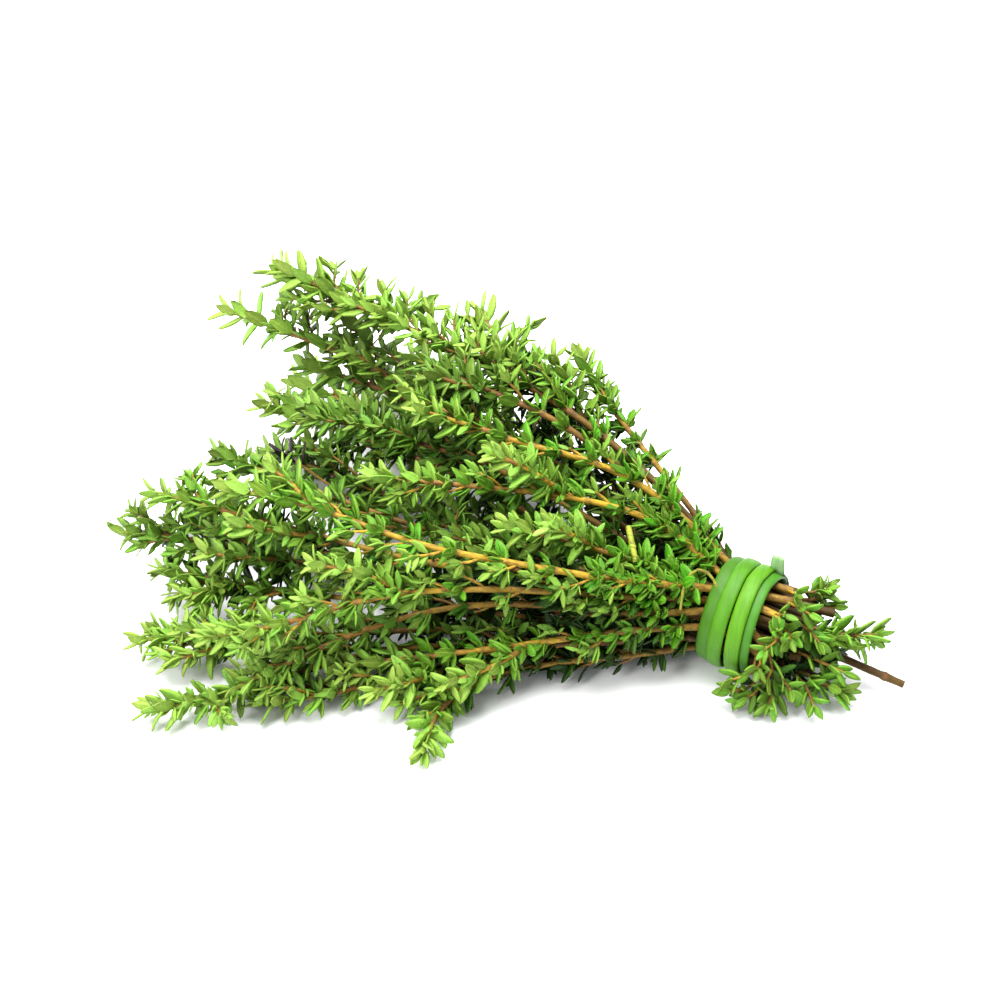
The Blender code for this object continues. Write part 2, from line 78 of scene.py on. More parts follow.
# The table: a plain white sheet that the bunch lies on, washed out by a large soft
# lamp overhead and a white room.
TABLE_HEIGHT = -0.08 * MM
bpy.ops.mesh.primitive_plane_add(size=8, location=(0, 0, TABLE_HEIGHT))
table = bpy.context.object
table.name = "white_table"
white = bpy.data.materials.new("white table")
white.use_nodes = True
surface = white.node_tree.nodes["Principled BSDF"]
surface.inputs["Base Color"].default_value = (0.88, 0.88, 0.885, 1)
surface.inputs["Roughness"].default_value = 0.9
table.data.materials.append(white)

room = bpy.data.worlds.new("white room")
bpy.context.scene.world = room
room.use_nodes = True
light = room.node_tree.nodes["Background"]
light.inputs["Color"].default_value = (0.97, 0.985, 1, 1)
light.inputs["Strength"].default_value = 0.64
for name, place, size, watts in (
    ("lamp_overhead", (-0.15, 0.2, 1.1), 1.0, 40),
    ("lamp_front_left", (-0.7, -0.9, 0.8), 0.5, 12),
):
    bpy.ops.object.light_add(type="AREA", location=place)
    lamp = bpy.context.object
    lamp.name = name
    lamp.rotation_euler = (Vector(place) - VIEW_AIM).to_track_quat("Z", "Y").to_euler()
    lamp.data.size = size
    lamp.data.energy = watts

# The woody stems: each sprig grew as one stem with a few side shoots, round and thin,
# golden brown where it is young wood and dark where it is old. They were cut with
# shears, so each ends in a pale oval of wood, and the strap holds them in rows.
STRAP_RADIUS = 12.2 * MM
STRAP_TURNED = math.radians(-16)
ALONG_STRAP = Vector((math.cos(STRAP_TURNED), math.sin(STRAP_TURNED), 0))
ACROSS_STRAP = Vector((-math.sin(STRAP_TURNED), math.cos(STRAP_TURNED), 0))
# Rows of stems inside the strap: height over its middle, and each place across
NARROW, WIDER = (-3.8, 0.0, 3.8), (-7.4, -3.7, 0.0, 3.7, 7.4)
WIDEST = (-9.0, -5.4, -1.8, 1.8, 5.4, 9.0)
ROWS = {
    "top": (8.5, NARROW), "high": (5.1, WIDER), "upper": (1.7, WIDEST),
    "lower": (-1.7, WIDEST), "low": (-5.1, WIDER), "bottom": (-8.5, NARROW),
}
# Each sprig: row and place in the strap, thickness there, how dark its wood is, its cut
# end, and its way from the strap out to its tip, in millimetres
SPRIGS = [
    ("high", 4, 1.9, 0.8, (12, 5, 17),
     (-21, 17, 28), (-42, 26, 36), (-66, 33, 41), (-92, 41, 42), (-123, 53, 40)),
    ("lower", 5, 1.7, 0.7, (15, 6, 8.5), (-40, 25, 19), (-83, 37, 26), (-108, 43, 29), (-133, 48, 30)),
    ("lower", 4, 2.0, 0.8, (13, 3, 9), (-38, 20, 17), (-76, 35, 22), (-97, 41, 22), (-114, 45, 20)),
    ("lower", 3, 1.7, 0.9, (37, -2, 3), (-36, 10, 14), (-71, 21, 18), (-92, 27, 17), (-120, 35, 15)),
    ("low", 3, 1.6, 0.6, (14, 1, 4.5), (-45, 9, 9), (-82, 17, 10), (-101, 23, 9), (-117, 27, 8)),
    ("lower", 2, 1.7, 0.1, (21, -5, 7), (-34, -8, 19), (-71, -15, 24), (-101, -14, 26), (-130, -10, 24)),
    ("top", 0, 1.6, 0.0, (10, -7, 20.5),
     (-21, -12, 27), (-41, -18, 32), (-69, -21, 35), (-88, -16, 35), (-111, -13, 32)),
    ("low", 2, 1.7, 0.4, (13, -2, 4), (-45, -6, 12), (-95, -14, 16), (-122, -13, 15), (-138, -13, 13)),
    ("lower", 1, 1.6, 0.1, (15, -6, 9), (-34, -12, 12), (-67, -17, 13), (-95, -19, 11), (-126, -18, 9)),
    ("high", 1, 1.6, 0.1, (12, -5, 16),
     (-19, -11, 22), (-46, -20, 26), (-73, -30, 26), (-93, -41, 21), (-104, -45, 20)),
    ("high", 0, 1.6, 0.2, (8, -10, 13.5),
     (-16, -12, 19), (-38, -16, 20), (-60, -21, 18), (-85, -36, 12), (-99, -48, 8)),
    ("lower", 0, 1.6, 0.3, (12, -10, 8),
     (-30, -16, 10), (-59, -23, 9), (-84, -34, 7), (-103, -49, 5), (-115, -54, 4)),
    ("low", 1, 1.6, 0.4, (18, -6, 5), (-35, -11, 8), (-68, -21, 9), (-95, -31, 8), (-124, -37, 6)),
    ("upper", 0, 1.6, 0.1, (7, -10.5, 10.5), (-14, -12, 16), (-39, -21, 13), (-60, -28, 10), (-80, -35, 8)),
    ("low", 0, 1.5, 0.1, (18, -10, 2.5),
     (-15, -10, 6), (-31, -17, 6), (-47, -24, 5), (-58, -39, 4), (-56, -49, 3)),
    ("top", 1, 1.6, 0.0, (13, -1, 20), (-16, 7, 27), (-37, 3, 34), (-60, -4, 38), (-80, -7, 38)),
    ("top", 2, 1.7, 0.1, (11, 1.5, 20.5), (-16, 11, 28), (-33, 13, 36), (-54, 9, 41), (-80, 17, 43)),
    ("upper", 4, 1.7, 0.7, (14, 3, 12), (-22, 18, 22), (-44, 29, 31), (-59, 36, 36), (-73, 52, 40)),
    ("high", 3, 1.9, 0.9, (20, 3, 15),
     (-21, 13, 27), (-33, 17, 34), (-48, 21, 40), (-64, 22, 43), (-81, 26, 45)),
    ("upper", 5, 1.6, 0.3, (12, 6.5, 12.5), (-14, 18, 22), (-26, 26, 28), (-38, 35, 33), (-48, 46, 37)),
    ("high", 2, 1.5, 0.2, (15, -2, 15.5), (-14, -2, 22), (-25, -6, 28), (-36, -8, 32), (-49, -11, 35)),
    ("upper", 1, 1.5, 0.2, (14, -7, 12.5), (-15, -11, 17), (-32, -14, 23), (-45, -15, 27), (-58, -17, 31)),
    ("upper", 2, 1.7, 0.6, (17, -3.5, 11.5), (-35, -3, 19), (-70, -5, 24), (-103, 2, 24), (-121, 6, 24)),
    ("upper", 3, 1.7, 0.7, (23, 0, 10), (-30, 9, 20), (-60, 15, 28), (-85, 14, 32), (-103, 16, 33)),
    ("low", 4, 1.6, 0.5, (13, 5, 6), (-28, 23, 10), (-60, 42, 10), (-88, 56, 9), (-106, 64, 8)),
    ("bottom", 0, 1.6, 0.4, (12, -7, 2.5), (-30, -13, 4), (-60, -27, 5), (-84, -42, 4), (-94, -46, 4)),
    ("bottom", 1, 1.6, 0.5, (15, -3.5, 2.5), (-35, -2, 4), (-75, -2, 5), (-103, 2, 5), (-128, 3, 4)),
    ("bottom", 2, 1.6, 0.5, (12, 1, 3), (-35, 14, 5), (-72, 33, 8), (-98, 47, 7), (-120, 56, 5)),
]
# Short leafy twigs among the cut ends, by the sprig they grow from, and where they end
BUTT_TWIGS = {23: [(30, 2.5, 12)], 12: [(25, -9.5, 4)], 14: [(10.5, -16.5, 3.5)], 19: [(17.5, 7, 18)]}
STEM_STEP = 2 * MM
TIP_THICKNESS = 0.9 * MM
SHOOT_THICKNESS = 1.1 * MM
# A stem keeps its full thickness over this share of its length, then tapers
TAPER_FROM = 0.15
# How far to each side the strap holds the stems, and how soon they bend freely
HELD_BEFORE, HELD_AFTER, BENDS_WITHIN = 4 * MM, 6.5 * MM, 5 * MM
# Stems bend apart in small steps: how many, how far each looks, and the air left
BEND_STEPS, BEND_REACH = 80, 3.2 * MM
STEM_AIR, TABLE_AIR = 0.7 * MM, 0.2 * MM
# Side shoots: how far from the tip, how long, and the room each needs
SHOOTS = ((20 * MM, 14 * MM), (42 * MM, 20 * MM))
SHOOT_TURNS = 12
SHOOT_ROOM = 3.4 * MM
SHOOT_OVER_TABLE = 2.5 * MM
SHOOT_OFF_STEMS = 2.3 * MM
# Leaf pairs are crowded at the tip, and further and further apart from there
FIRST_NODE, NODE_GAP, NODE_GAP_GROWS, WIDEST_NODE_GAP = 0.8 * MM, 1.5 * MM, 1.16, 10.5 * MM
# The fine twigs between the shoots, all along each stem, and how low and high they reach
TWIGS_FROM = 13 * MM
TWIG_GAP = 8 * MM
TWIG_LENGTHS = (9 * MM, 12 * MM, 14 * MM, 11 * MM)
FRONT_TWIG_LENGTHS = (5 * MM, 7 * MM, 6 * MM, 8 * MM)
TWIG_THICKNESS = 0.6 * MM
TWIG_ROOM = 1.0 * MM
TWIG_HEIGHTS = (1.5 * MM, 46.5 * MM)
GAP_TWIG_LENGTH = 11 * MM
# Stems that lie on the front of the bunch, with no twig over them
FRONT_STEMS = (5, 6, 8, 9, 10, 13, 14, 15, 16, 20, 21)
# Stems on the upper side of the neck, which are bare at first, with no twigs up to here
BARE_AT_FIRST, NO_TWIGS_FROM = (0, 17, 18, 19), -46 * MM
# Stems with nothing growing to the front, and those with slender tips without twigs
FRONT_EDGE = (10, 11, 14, 25)
SLENDER_TIPS = (1, 2, 5, 11, 22, 24)
# Fine twigs among the cut ends, the same way
FINE_BUTT_TWIGS = {
    0: [(17, 9, 17)], 4: [(22, 2, 4)], 5: [(25, -8, 9)], 6: [(11, -8, 22.5)],
    9: [(13, -12, 19), (8, -13, 16)], 10: [(9, -15, 8)], 11: [(15, -15, 7)], 12: [(20, -15, 4)],
    13: [(1, -16.5, 8), (7, -15, 12)], 14: [(0.5, -17, 5), (4.5, -17.5, 4)], 15: [(16, -4, 20)],
    16: [(12, -2, 23)], 19: [(20, 6, 14)], 20: [(19, -7, 15)], 21: [(10, -11, 21)],
    22: [(22, -3, 14), (26, -1, 11)], 24: [(20, 8, 5)],
}
# Leafy twigs that fill the gaps between the stems, the same way
GAP_TWIGS = {
    0: [(-70, 39, 45), (-76, 41, 45.5), (-82, 43, 45.5), (-88, 45, 45.5), (-94, 47, 45.5),
        (-101, 50, 45), (-108, 53, 44), (-79, 35, 46), (-91, 38, 46), (-64, 37, 44), (-40, 31, 34),
        (-52, 34, 38), (-86, 50, 41), (-94, 40, 40), (-99, 44, 42)],
    1: [(-42, 38, 22), (-34, 31, 23), (-49, 37, 26), (-52, 44, 22), (-120, 53, 31), (-114, 50, 32),
        (-62, 30, 26)],
    2: [(-46, 30, 20), (-55, 34, 18), (-68, 28, 20)],
    3: [(-90, 21, 16), (-113, 30, 14), (-97, 25, 13), (-101, 29, 12), (-66, 25, 20)],
    4: [(-92, 24, 8), (-58, 14, 9), (-67, 18, 12), (-74, 19, 13), (-88, 12, 8), (-95, 17, 12),
        (-82, 16, 13), (-64, 17, 13), (-68, 21, 12), (-88, 23, 13)],
    5: [(-122, -5, 27)],
    7: [(-88, -6, 10), (-62, -4, 10), (-131, -16, 13), (-122, -17, 14), (-111, -18, 13),
        (-99, -15, 11)],
    8: [(-105, -25, 8), (-114, -26, 8), (-121, -24, 7), (-95, -16, 9), (-109, -21, 12),
        (-101, -29, 12), (-112, -24, 11)],
    11: [(-98, -56, 9)],
    12: [(-112, -29, 8), (-121, -34, 8), (-106, -36, 8)],
    17: [(-50, 36, 39), (-56, 39, 41), (-62, 42, 42), (-38, 34, 28), (-32, 25, 29), (-60, 49, 41)],
    18: [(-70, 29, 46), (-62, 26, 44)],
    19: [(-42, 39, 36)],
    22: [(-64, 3, 24), (-54, 3, 22), (-119, 0, 18)],
    23: [(-72, 8, 28)],
    24: [(-70, 37, 9), (-60, 36, 13), (-51, 46, 12), (-78, 50, 13), (-72, 42, 12)],
    25: [(-62, -12, 6)],
    26: [(-66, 10, 6), (-84, 4, 7), (-100, 8, 6), (-58, 6, 6), (-83, 3, 9), (-97, 6, 9)],
    27: [(-50, 19, 8), (-57, 28, 8), (-80, 31, 8), (-60, 21, 9), (-85, 31, 13), (-80, 28, 11),
        (-49, 25, 11), (-90, 38, 12)],
}
# One twig has withered dark: the sprig it grows from, and its way
DARK_TWIG = (22, [(-88, 0, 24), (-98, 8, 21), (-109, 15, 20)])
# A stalk that arches over the neck and a dry one caught among the leaves: the sprig each
# lies on, its thickness, its age for the bark colour, and its way
LOOSE_STALKS = [
    (20, 0.6, 0.95,
     [(-10.7, -11.1, 21), (-10.9, -7, 24.5), (-9.4, -3.4, 26), (-6.5, -3.6, 26), (-4.3, -5.7, 24.5)]),
    (20, 1.3, 2.0, [(-25.3, 0.9, 30.5), (-23.6, -2.9, 29.6), (-21.7, -6.6, 27.8)]),
]


def smooth_route(points):
    """Points about two millimetres apart on one smooth line through the given ones."""
    gaps = [(b - a).length for a, b in zip(points, points[1:])]
    tangents = [(points[1] - points[0]) / gaps[0]]
    for i in range(1, len(points) - 1):
        before = (points[i] - points[i - 1]) / gaps[i - 1]
        after = (points[i + 1] - points[i]) / gaps[i]
        tangents.append((before * gaps[i] + after * gaps[i - 1]) / (gaps[i] + gaps[i - 1]))
    tangents.append((points[-1] - points[-2]) / gaps[-1])
    fine = [points[0]]
    for i, gap in enumerate(gaps):
        pieces = max(2, round(gap / (STEM_STEP / 8)))
        for k in range(1, pieces + 1):
            t = k / pieces
            a = points[i] * (2 * t**3 - 3 * t**2 + 1) + tangents[i] * gap * (t**3 - 2 * t**2 + t)
            b = points[i + 1] * (3 * t**2 - 2 * t**3) + tangents[i + 1] * gap * (t**3 - t**2)
            fine.append(a + b)
    length = sum((b - a).length for a, b in zip(fine, fine[1:]))
    count = round(length / STEM_STEP)
    even, travelled, wanted = [fine[0]], 0.0, length / count
    for a, b in zip(fine, fine[1:]):
        travelled += (b - a).length
        if travelled >= wanted * len(even) - 1e-9 and len(even) <= count:
            even.append(b)
    even[-1] = fine[-1]
    return even


def find_tree(points):
    """A search tree that tells which of the points lie near a place."""
    tree = kdtree.KDTree(len(points))
    for number, point in enumerate(points):
        tree.insert(point, number)
    tree.balance()
    return tree


def thickness_at(sprig, index, count):
    """A stem is thickest at the strap and tapers to its tip."""
    base = SPRIGS[sprig][2] * MM
    along = max(0.0, index / (count - 1) - TAPER_FROM) / (1 - TAPER_FROM)
    return base + (TIP_THICKNESS - base) * along


def freedom(point):
    """How freely a stem bends there: not at all in the strap, fully a little way out."""
    along = point.dot(ALONG_STRAP)
    out = max(along - HELD_AFTER, -HELD_BEFORE - along)
    return min(1.0, max(0.0, out / BENDS_WITHIN))


def bend_clear(routes):
    """Bends stems that would touch away from each other."""
    owners = [(s, i) for s, route in enumerate(routes) for i in range(len(route))]
    for _ in range(BEND_STEPS):
        tree = find_tree([routes[s][i] for s, i in owners])
        pushes = [[Vector() for _ in route] for route in routes]
        for s, i in owners:
            point = routes[s][i]
            for other, number, distance in tree.find_range(point, BEND_REACH):
                t, j = owners[number]
                if t == s:
                    continue
                radii = thickness_at(s, i, len(routes[s])) + thickness_at(t, j, len(routes[t]))
                short = radii / 2 + STEM_AIR - distance
                if short > pushes[s][i].length * 2:
                    away = point - other
                    away = away.normalized() if away.length > 1e-7 else Vector((0, 0, 1 if s > t else -1))
                    pushes[s][i] = away * short * 0.5
        for s, route in enumerate(routes):
            moved = []
            for i, point in enumerate(route):
                push = max(pushes[s][max(0, i - 2) : i + 3], key=lambda item: item.length)
                point = point + push * freedom(point)
                point.z = max(point.z, thickness_at(s, i, len(route)) / 2 + TABLE_AIR)
                moved.append(point)
            for i in range(1, len(route) - 1):
                even = (moved[i - 1] + moved[i + 1]) / 2
                route[i] = moved[i].lerp(even, 0.2 * freedom(route[i]))
            route[0], route[-1] = moved[0], moved[-1]
    return routes


def sideways(tangent, azimuth):
    """The way out of a stem, at an angle round it from its level side."""
    flat = tangent.cross(Vector((0, 0, 1))).normalized()
    return flat * math.cos(azimuth) + flat.cross(tangent) * math.sin(azimuth)


def shoot_points(start, tangent, azimuth, length):
    """A shoot leaves its stem sideways and bends forward along it."""
    out = sideways(tangent, azimuth)
    count = round(length / STEM_STEP)
    points = []
    for i in range(count + 1):
        t = i / count
        ahead, aside = 0.68 * t + 0.2 * t**2, 0.62 * t - 0.2 * t**2
        points.append(start + (tangent * ahead + out * aside) * length)
    return points


def side_shoots(routes):
    """Shoots off the stems, each turned to where it has most room, and the butt twigs."""
    shoots = []
    taken = [(point, sprig) for sprig, route in enumerate(routes) for point in route]
    for sprig, route in enumerate(routes):
        for number, (from_tip, length) in enumerate(SHOOTS):
            if (sprig + number) % 2 or from_tip > 0.5 * len(route) * STEM_STEP:
                continue
            index = len(route) - 1 - round(from_tip / STEM_STEP)
            tangent = (route[index + 1] - route[index - 1]).normalized()
            best, best_room = None, SHOOT_ROOM
            for turn in range(SHOOT_TURNS):
                points = shoot_points(route[index], tangent, math.tau * turn / SHOOT_TURNS, length)
                if points[-1].z < SHOOT_OVER_TABLE:
                    continue
                near = [(q, other) for q, other in taken if (points[-1] - q).length < 2 * length]
                outer = points[len(points) // 2 :]
                space = min((p - q).length for p in outer for q, _ in near)
                others = [q for q, other in near if other != sprig]
                nearest = min(((p - q).length for p in points for q in others), default=1.0)
                if space > best_room and nearest > SHOOT_OFF_STEMS:
                    best, best_room = points, space
            if best:
                shoots.append((sprig, best))
                taken += [(point, sprig) for point in best]
    butts = [(sprig, butt_twig(routes[sprig], tip)) for sprig, tips in BUTT_TWIGS.items() for tip in tips]
    return shoots + butts


def nodes_from_tip(reach):
    """How far from the tip each pair of leaves sits."""
    places, gap = [FIRST_NODE], NODE_GAP
    while places[-1] + gap < reach:
        places.append(places[-1] + gap)
        gap = min(gap * NODE_GAP_GROWS, WIDEST_NODE_GAP)
    return places


def place_on(route, from_tip):
    """A route's point at a distance from its tip, and the way that it goes there."""
    step = (route[1] - route[0]).length
    at = max(0.0, len(route) - 1 - from_tip / step)
    index = min(int(at), len(route) - 2)
    before, after = route[max(0, index - 1)], route[min(len(route) - 1, index + 2)]
    return route[index].lerp(route[index + 1], at - index), (after - before).normalized()


def fine_twigs(routes, grown):
    """Thin leafy twigs close along every stem, each turned to where it has most room."""
    lowest, highest = TWIG_HEIGHTS
    twigs = []
    for sprig, route in enumerate(routes):
        near = [point for line in routes for point in line]
        near += [point for _, line in grown + twigs for point in line[1:]]
        tree = find_tree(near)
        lengths = FRONT_TWIG_LENGTHS if sprig in FRONT_STEMS else TWIG_LENGTHS
        for number in range(int((len(route) - 4) * STEM_STEP / TWIG_GAP)):
            if sprig in SLENDER_TIPS and number < 3:
                continue
            root, tangent = place_on(route, TWIGS_FROM + TWIG_GAP * number)
            bare = sprig in BARE_AT_FIRST and root.x > NO_TWIGS_FROM
            if freedom(root) < 1 or root.dot(ALONG_STRAP) > 0 or bare:
                continue
            best, best_room = None, TWIG_ROOM
            for turn in range(SHOOT_TURNS):
                azimuth = math.tau * (turn + 0.5 * (number % 2)) / SHOOT_TURNS
                out = sideways(tangent, azimuth)
                points = shoot_points(root, tangent, azimuth, lengths[(number + sprig) % 4])
                over_front = sprig in FRONT_STEMS and out.dot(view_back) > 0.55
                if over_front or sprig in FRONT_EDGE and out.y < -0.1:
                    continue
                if not lowest <= points[-1].z <= highest:
                    continue
                space = min(tree.find(point)[2] for point in points[len(points) // 2 :])
                if space > best_room:
                    best, best_room = points, space
            if best:
                twigs.append((sprig, best))
    for grow, tips_by_sprig in ((gap_twig, GAP_TWIGS), (butt_twig, FINE_BUTT_TWIGS)):
        for sprig, tips in tips_by_sprig.items():
            twigs += [(sprig, grow(routes[sprig], tip)) for tip in tips]
    return twigs


def bent_twig(start, heading, tip):
    """A twig that goes one way at first and then bends to its tip."""
    ahead = start + heading * (tip - start).length / 2
    return smooth_route([start, ahead.lerp(tip, 0.45), tip])


def gap_twig(route, tip):
    """A twig that leaves its stem some way back from its tip, and never grows backwards."""
    tip = Vector(tip) * MM

    def unfit(i):
        return abs((route[i] - tip).length - GAP_TWIG_LENGTH) + 10 * max(0, tip.x - route[i].x)

    index = min(range(1, len(route) - 1), key=unfit)
    return bent_twig(route[index], (route[index + 1] - route[index - 1]).normalized(), tip)


def butt_twig(route, tip):
    """A twig among the cut ends, that leaves its stem just past the strap."""
    start = next(point for point in reversed(route) if point.dot(ALONG_STRAP) > HELD_AFTER + 1 * MM)
    return bent_twig(start, ALONG_STRAP, Vector(tip) * MM)


stems = []
for row, place, _, _, cut_end, *way in SPRIGS:
    height, across = ROWS[row]
    held = Vector((0, 0, STRAP_RADIUS + height * MM)) + ACROSS_STRAP * across[place] * MM
    inside = [held + ALONG_STRAP * HELD_AFTER, held - ALONG_STRAP * HELD_BEFORE]
    outside = [Vector(point) * MM for point in way]
    stems.append(smooth_route([Vector(cut_end) * MM] + inside + outside))
stems = bend_clear(stems)
shoots = side_shoots(stems)
twigs = fine_twigs(stems, shoots)
wood_points = [(point, sprig) for sprig, route in enumerate(stems) for point in route]
wood_points += [(point, sprig) for sprig, route in shoots + twigs for point in route]
wood_tree = find_tree([point for point, _ in wood_points])
# Wood over a point, towards the light, shades it, and that shade is painted into the colour of bark and
# leaves:
# up to so many points of it leave it in the open, and so many more hide it
SHELTER_OVER, SHELTER_REACH = Vector((0, -0.45, 0.9)) * 7 * MM, 7.5 * MM
OPEN_UP_TO, HIDDEN_BY = 4, 21


def shade_depth(point):
    """How deep inside the bunch a point lies, from 0 to 1: painted shade, so bark and leaves there are
    painted darker.
    """
    around = len(wood_tree.find_range(point + SHELTER_OVER, SHELTER_REACH))
    return min(1.0, max(0, around - OPEN_UP_TO) / HIDDEN_BY)


RING_STEP, JOINT_HALF, JOINT_SWELLS = 1.9 * MM, 0.8 * MM, 0.22


def stem_line(route, thick, thin, chance):
    """A stem's rings from the cut end up: point, radius, and its age and joint for the bark."""
    length = (route[1] - route[0]).length * (len(route) - 1)
    joints = [place for place in nodes_from_tip(length - 3 * MM) if place > 3 * MM]
    plain = [round(k * RING_STEP, 5) for k in range(int(length / RING_STEP) + 1)]
    rings = {place: 0.0 for place in plain if all(abs(place - joint) > 1.1 * MM for joint in joints)}
    for joint in joints:
        rings.update({joint - JOINT_HALF: 0.15, joint: 1.0, joint + JOINT_HALF: 0.15})
    rings[length] = 0.0
    line = []
    for place in sorted(rings, reverse=True):
        point, _ = place_on(route, place)
        share = place / length
        radius = (thin + (thick - thin) * min(1, share / (1 - TAPER_FROM))) / 2
        radius *= 1 + JOINT_SWELLS * rings[place] + chance.uniform(-0.04, 0.04)
        line.append((point, radius, 1 - share, rings[place]))
    return line


def wooden_piece(name, lines, darkness):
    """One mesh of round rods, with its age, joints and darkness for the bark; the darkness is the sprig's
    own dark wood and painted shade deep in the bunch.
    """
    bpy.ops.object.select_all(action="DESELECT")
    bpy.ops.curve.primitive_nurbs_path_add()
    piece = bpy.context.object
    piece.name = name
    piece.data.splines.clear()
    piece.data.bevel_depth = 1.0
    piece.data.bevel_resolution = 2
    piece.data.use_fill_caps = True
    for line in lines:
        spline = piece.data.splines.new("POLY")
        spline.points.add(len(line) - 1)
        for item, (point, radius, _, _) in zip(spline.points, line):
            item.co = (*point, 1)
            item.radius = radius
    bpy.ops.object.convert(target="MESH")
    bpy.ops.object.mode_set(mode="EDIT")
    bpy.ops.mesh.select_all(action="SELECT")
    bpy.ops.mesh.remove_doubles(threshold=0.01 * MM)
    bpy.ops.mesh.normals_make_consistent(inside=False)
    bpy.ops.object.mode_set(mode="OBJECT")
    flat = [ring for line in lines for ring in line]
    tree = find_tree([ring[0] for ring in flat])
    ring_shade = [shade_depth(ring[0]) for ring in flat]
    growth_and_shade = piece.data.attributes.new("growth_and_shade", "FLOAT_COLOR", "POINT")
    for vertex in piece.data.vertices:
        nearest = tree.find(vertex.co)[1]
        _, _, age, joint = flat[nearest]
        # The third channel: the sprig's own dark wood, plus painted shade where wood lies over the ring
        growth_and_shade.data[vertex.index].color = (age, joint, min(1, darkness + 0.7 * ring_shade[nearest]), 1)
    return piece


# At a cut end, the rim of bark and how deep the wood lies in it, and the hollow heart
BARK_RIM, WOOD_LIES_IN = 0.12 * MM, 0.1 * MM
HEART_IN, HEART_DEPTH = 0.45 * MM, 0.12 * MM


def cut_square(piece, line):
    """The cut end: its face is set in a little, so that bark stands round pale wood."""
    end, next_point = line[0][0], line[1][0]
    outward = (end - next_point).normalized()
    bpy.ops.object.mode_set(mode="EDIT")
    bpy.ops.mesh.select_mode(type="FACE")
    shape = bmesh.from_edit_mesh(piece.data)
    for face in shape.faces:
        near = (face.calc_center_median() - end).length < 0.3 * MM
        face.select_set(near and face.normal.dot(outward) > 0.8)
    bmesh.update_edit_mesh(piece.data)
    bpy.ops.mesh.inset(thickness=BARK_RIM)
    bpy.ops.transform.translate(value=outward * -WOOD_LIES_IN)
    shape = bmesh.from_edit_mesh(piece.data)
    for face in shape.faces:
        if face.select:
            face.material_index = 1
    bpy.ops.mesh.inset(thickness=HEART_IN)
    bpy.ops.transform.translate(value=outward * -HEART_DEPTH)
    bpy.ops.object.mode_set(mode="OBJECT")


def feed(tree, socket, value):
    """Sets an input, or links it where the value is another node's output."""
    if isinstance(value, bpy.types.NodeSocket):
        tree.links.new(value, socket)
    else:
        socket.default_value = value


def add_node(tree, kind, **values):
    """Adds a shader node. Values are its settings, or its inputs, as in_Name."""
    item = tree.nodes.new("ShaderNode" + kind)
    for key, value in values.items():
        if key.startswith("in_"):
            feed(tree, item.inputs[key[3:].replace("_", " ")], value)
        else:
            setattr(item, key, value)
    return item


def blend(tree, share, first, second):
    """Mixes two colours and gives the result."""
    item = add_node(tree, "Mix", data_type="RGBA")
    for number, value in ((0, share), (6, first), (7, second)):
        feed(tree, item.inputs[number], value)
    return item.outputs[2]


def sum_up(tree, operation, first, second=0.0, third=0.5):
    """One step of arithmetic on one to three values."""
    item = add_node(tree, "Math", operation=operation)
    for socket, value in zip(item.inputs, (first, second, third)):
        feed(tree, socket, value)
    return item.outputs[0]


def fade(tree, value, start, end, low=0.0, high=1.0):
    """A value that goes smoothly from low at start to high at end."""
    item = add_node(tree, "MapRange", interpolation_type="SMOOTHSTEP", in_Value=value)
    for key, number in (("From Min", start), ("From Max", end), ("To Min", low), ("To Max", high)):
        item.inputs[key].default_value = number
    return item.outputs["Result"]


def new_group(name, inputs, outputs):
    """A shader node group, from its inputs' values and its outputs' kinds."""
    group = bpy.data.node_groups.new(name, "ShaderNodeTree")
    kinds = {1: "Float", 3: "Vector", 4: "Color"}
    for label, value in inputs.items():
        kind = kinds[len(value) if isinstance(value, tuple) else 1]
        socket = group.interface.new_socket(name=label, in_out="INPUT", socket_type="NodeSocket" + kind)
        socket.default_value = value
    for label, kind in outputs.items():
        group.interface.new_socket(name=label, in_out="OUTPUT", socket_type="NodeSocket" + kind)
    return group, group.nodes.new("NodeGroupInput"), group.nodes.new("NodeGroupOutput")


# A fine mottle in colour and relief, the same kind on bark, leaves and strap
mottle_group, given, made = new_group(
    "grown mottle",
    {"Colour": (0.5, 0.5, 0.5, 1), "Size": 700.0, "Strength": 0.25},
    {"Colour": "Color", "Height": "Float"},
)
tree, given = mottle_group, given.outputs
coords = add_node(tree, "TexCoord").outputs["Object"]
speckle = add_node(
    tree, "TexNoise", in_Vector=coords, in_Scale=given["Size"], in_Detail=3.0, in_Roughness=0.6
).outputs["Fac"]
shift = sum_up(tree, "MULTIPLY", sum_up(tree, "SUBTRACT", speckle, 0.5), given["Strength"])
bright = sum_up(tree, "MULTIPLY_ADD", shift, 2.0, 1.0)
toned = add_node(tree, "HueSaturation", in_Color=given["Colour"], in_Value=bright)
tree.links.new(toned.outputs["Color"], made.inputs["Colour"])
tree.links.new(speckle, made.inputs["Height"])

# Streaks that run along a grain, on bark and strap: noise drawn out one way
streak_group, given, made = new_group(
    "streaks along the grain",
    {"Turned": (0, 0, 0), "Drawn Out": (0.1, 1, 1), "Size": 1500.0},
    {"Streaks": "Float"},
)
tree, given = streak_group, given.outputs
coords = add_node(tree, "TexCoord").outputs["Object"]
grain = add_node(
    tree, "Mapping", in_Vector=coords, in_Rotation=given["Turned"], in_Scale=given["Drawn Out"]
).outputs["Vector"]
drawn = add_node(tree, "TexNoise", in_Vector=grain, in_Scale=given["Size"], in_Detail=2.0)
tree.links.new(drawn.outputs["Fac"], made.inputs["Streaks"])


def new_finish(name, roughness, specular):
    """A new material, its tree and its surface, with the gloss set on the surface."""
    material = bpy.data.materials.new(name)
    material.use_nodes = True
    surface = material.node_tree.nodes["Principled BSDF"]
    surface.inputs["Roughness"].default_value = roughness
    surface.inputs["Specular IOR Level"].default_value = specular
    return material, material.node_tree, surface


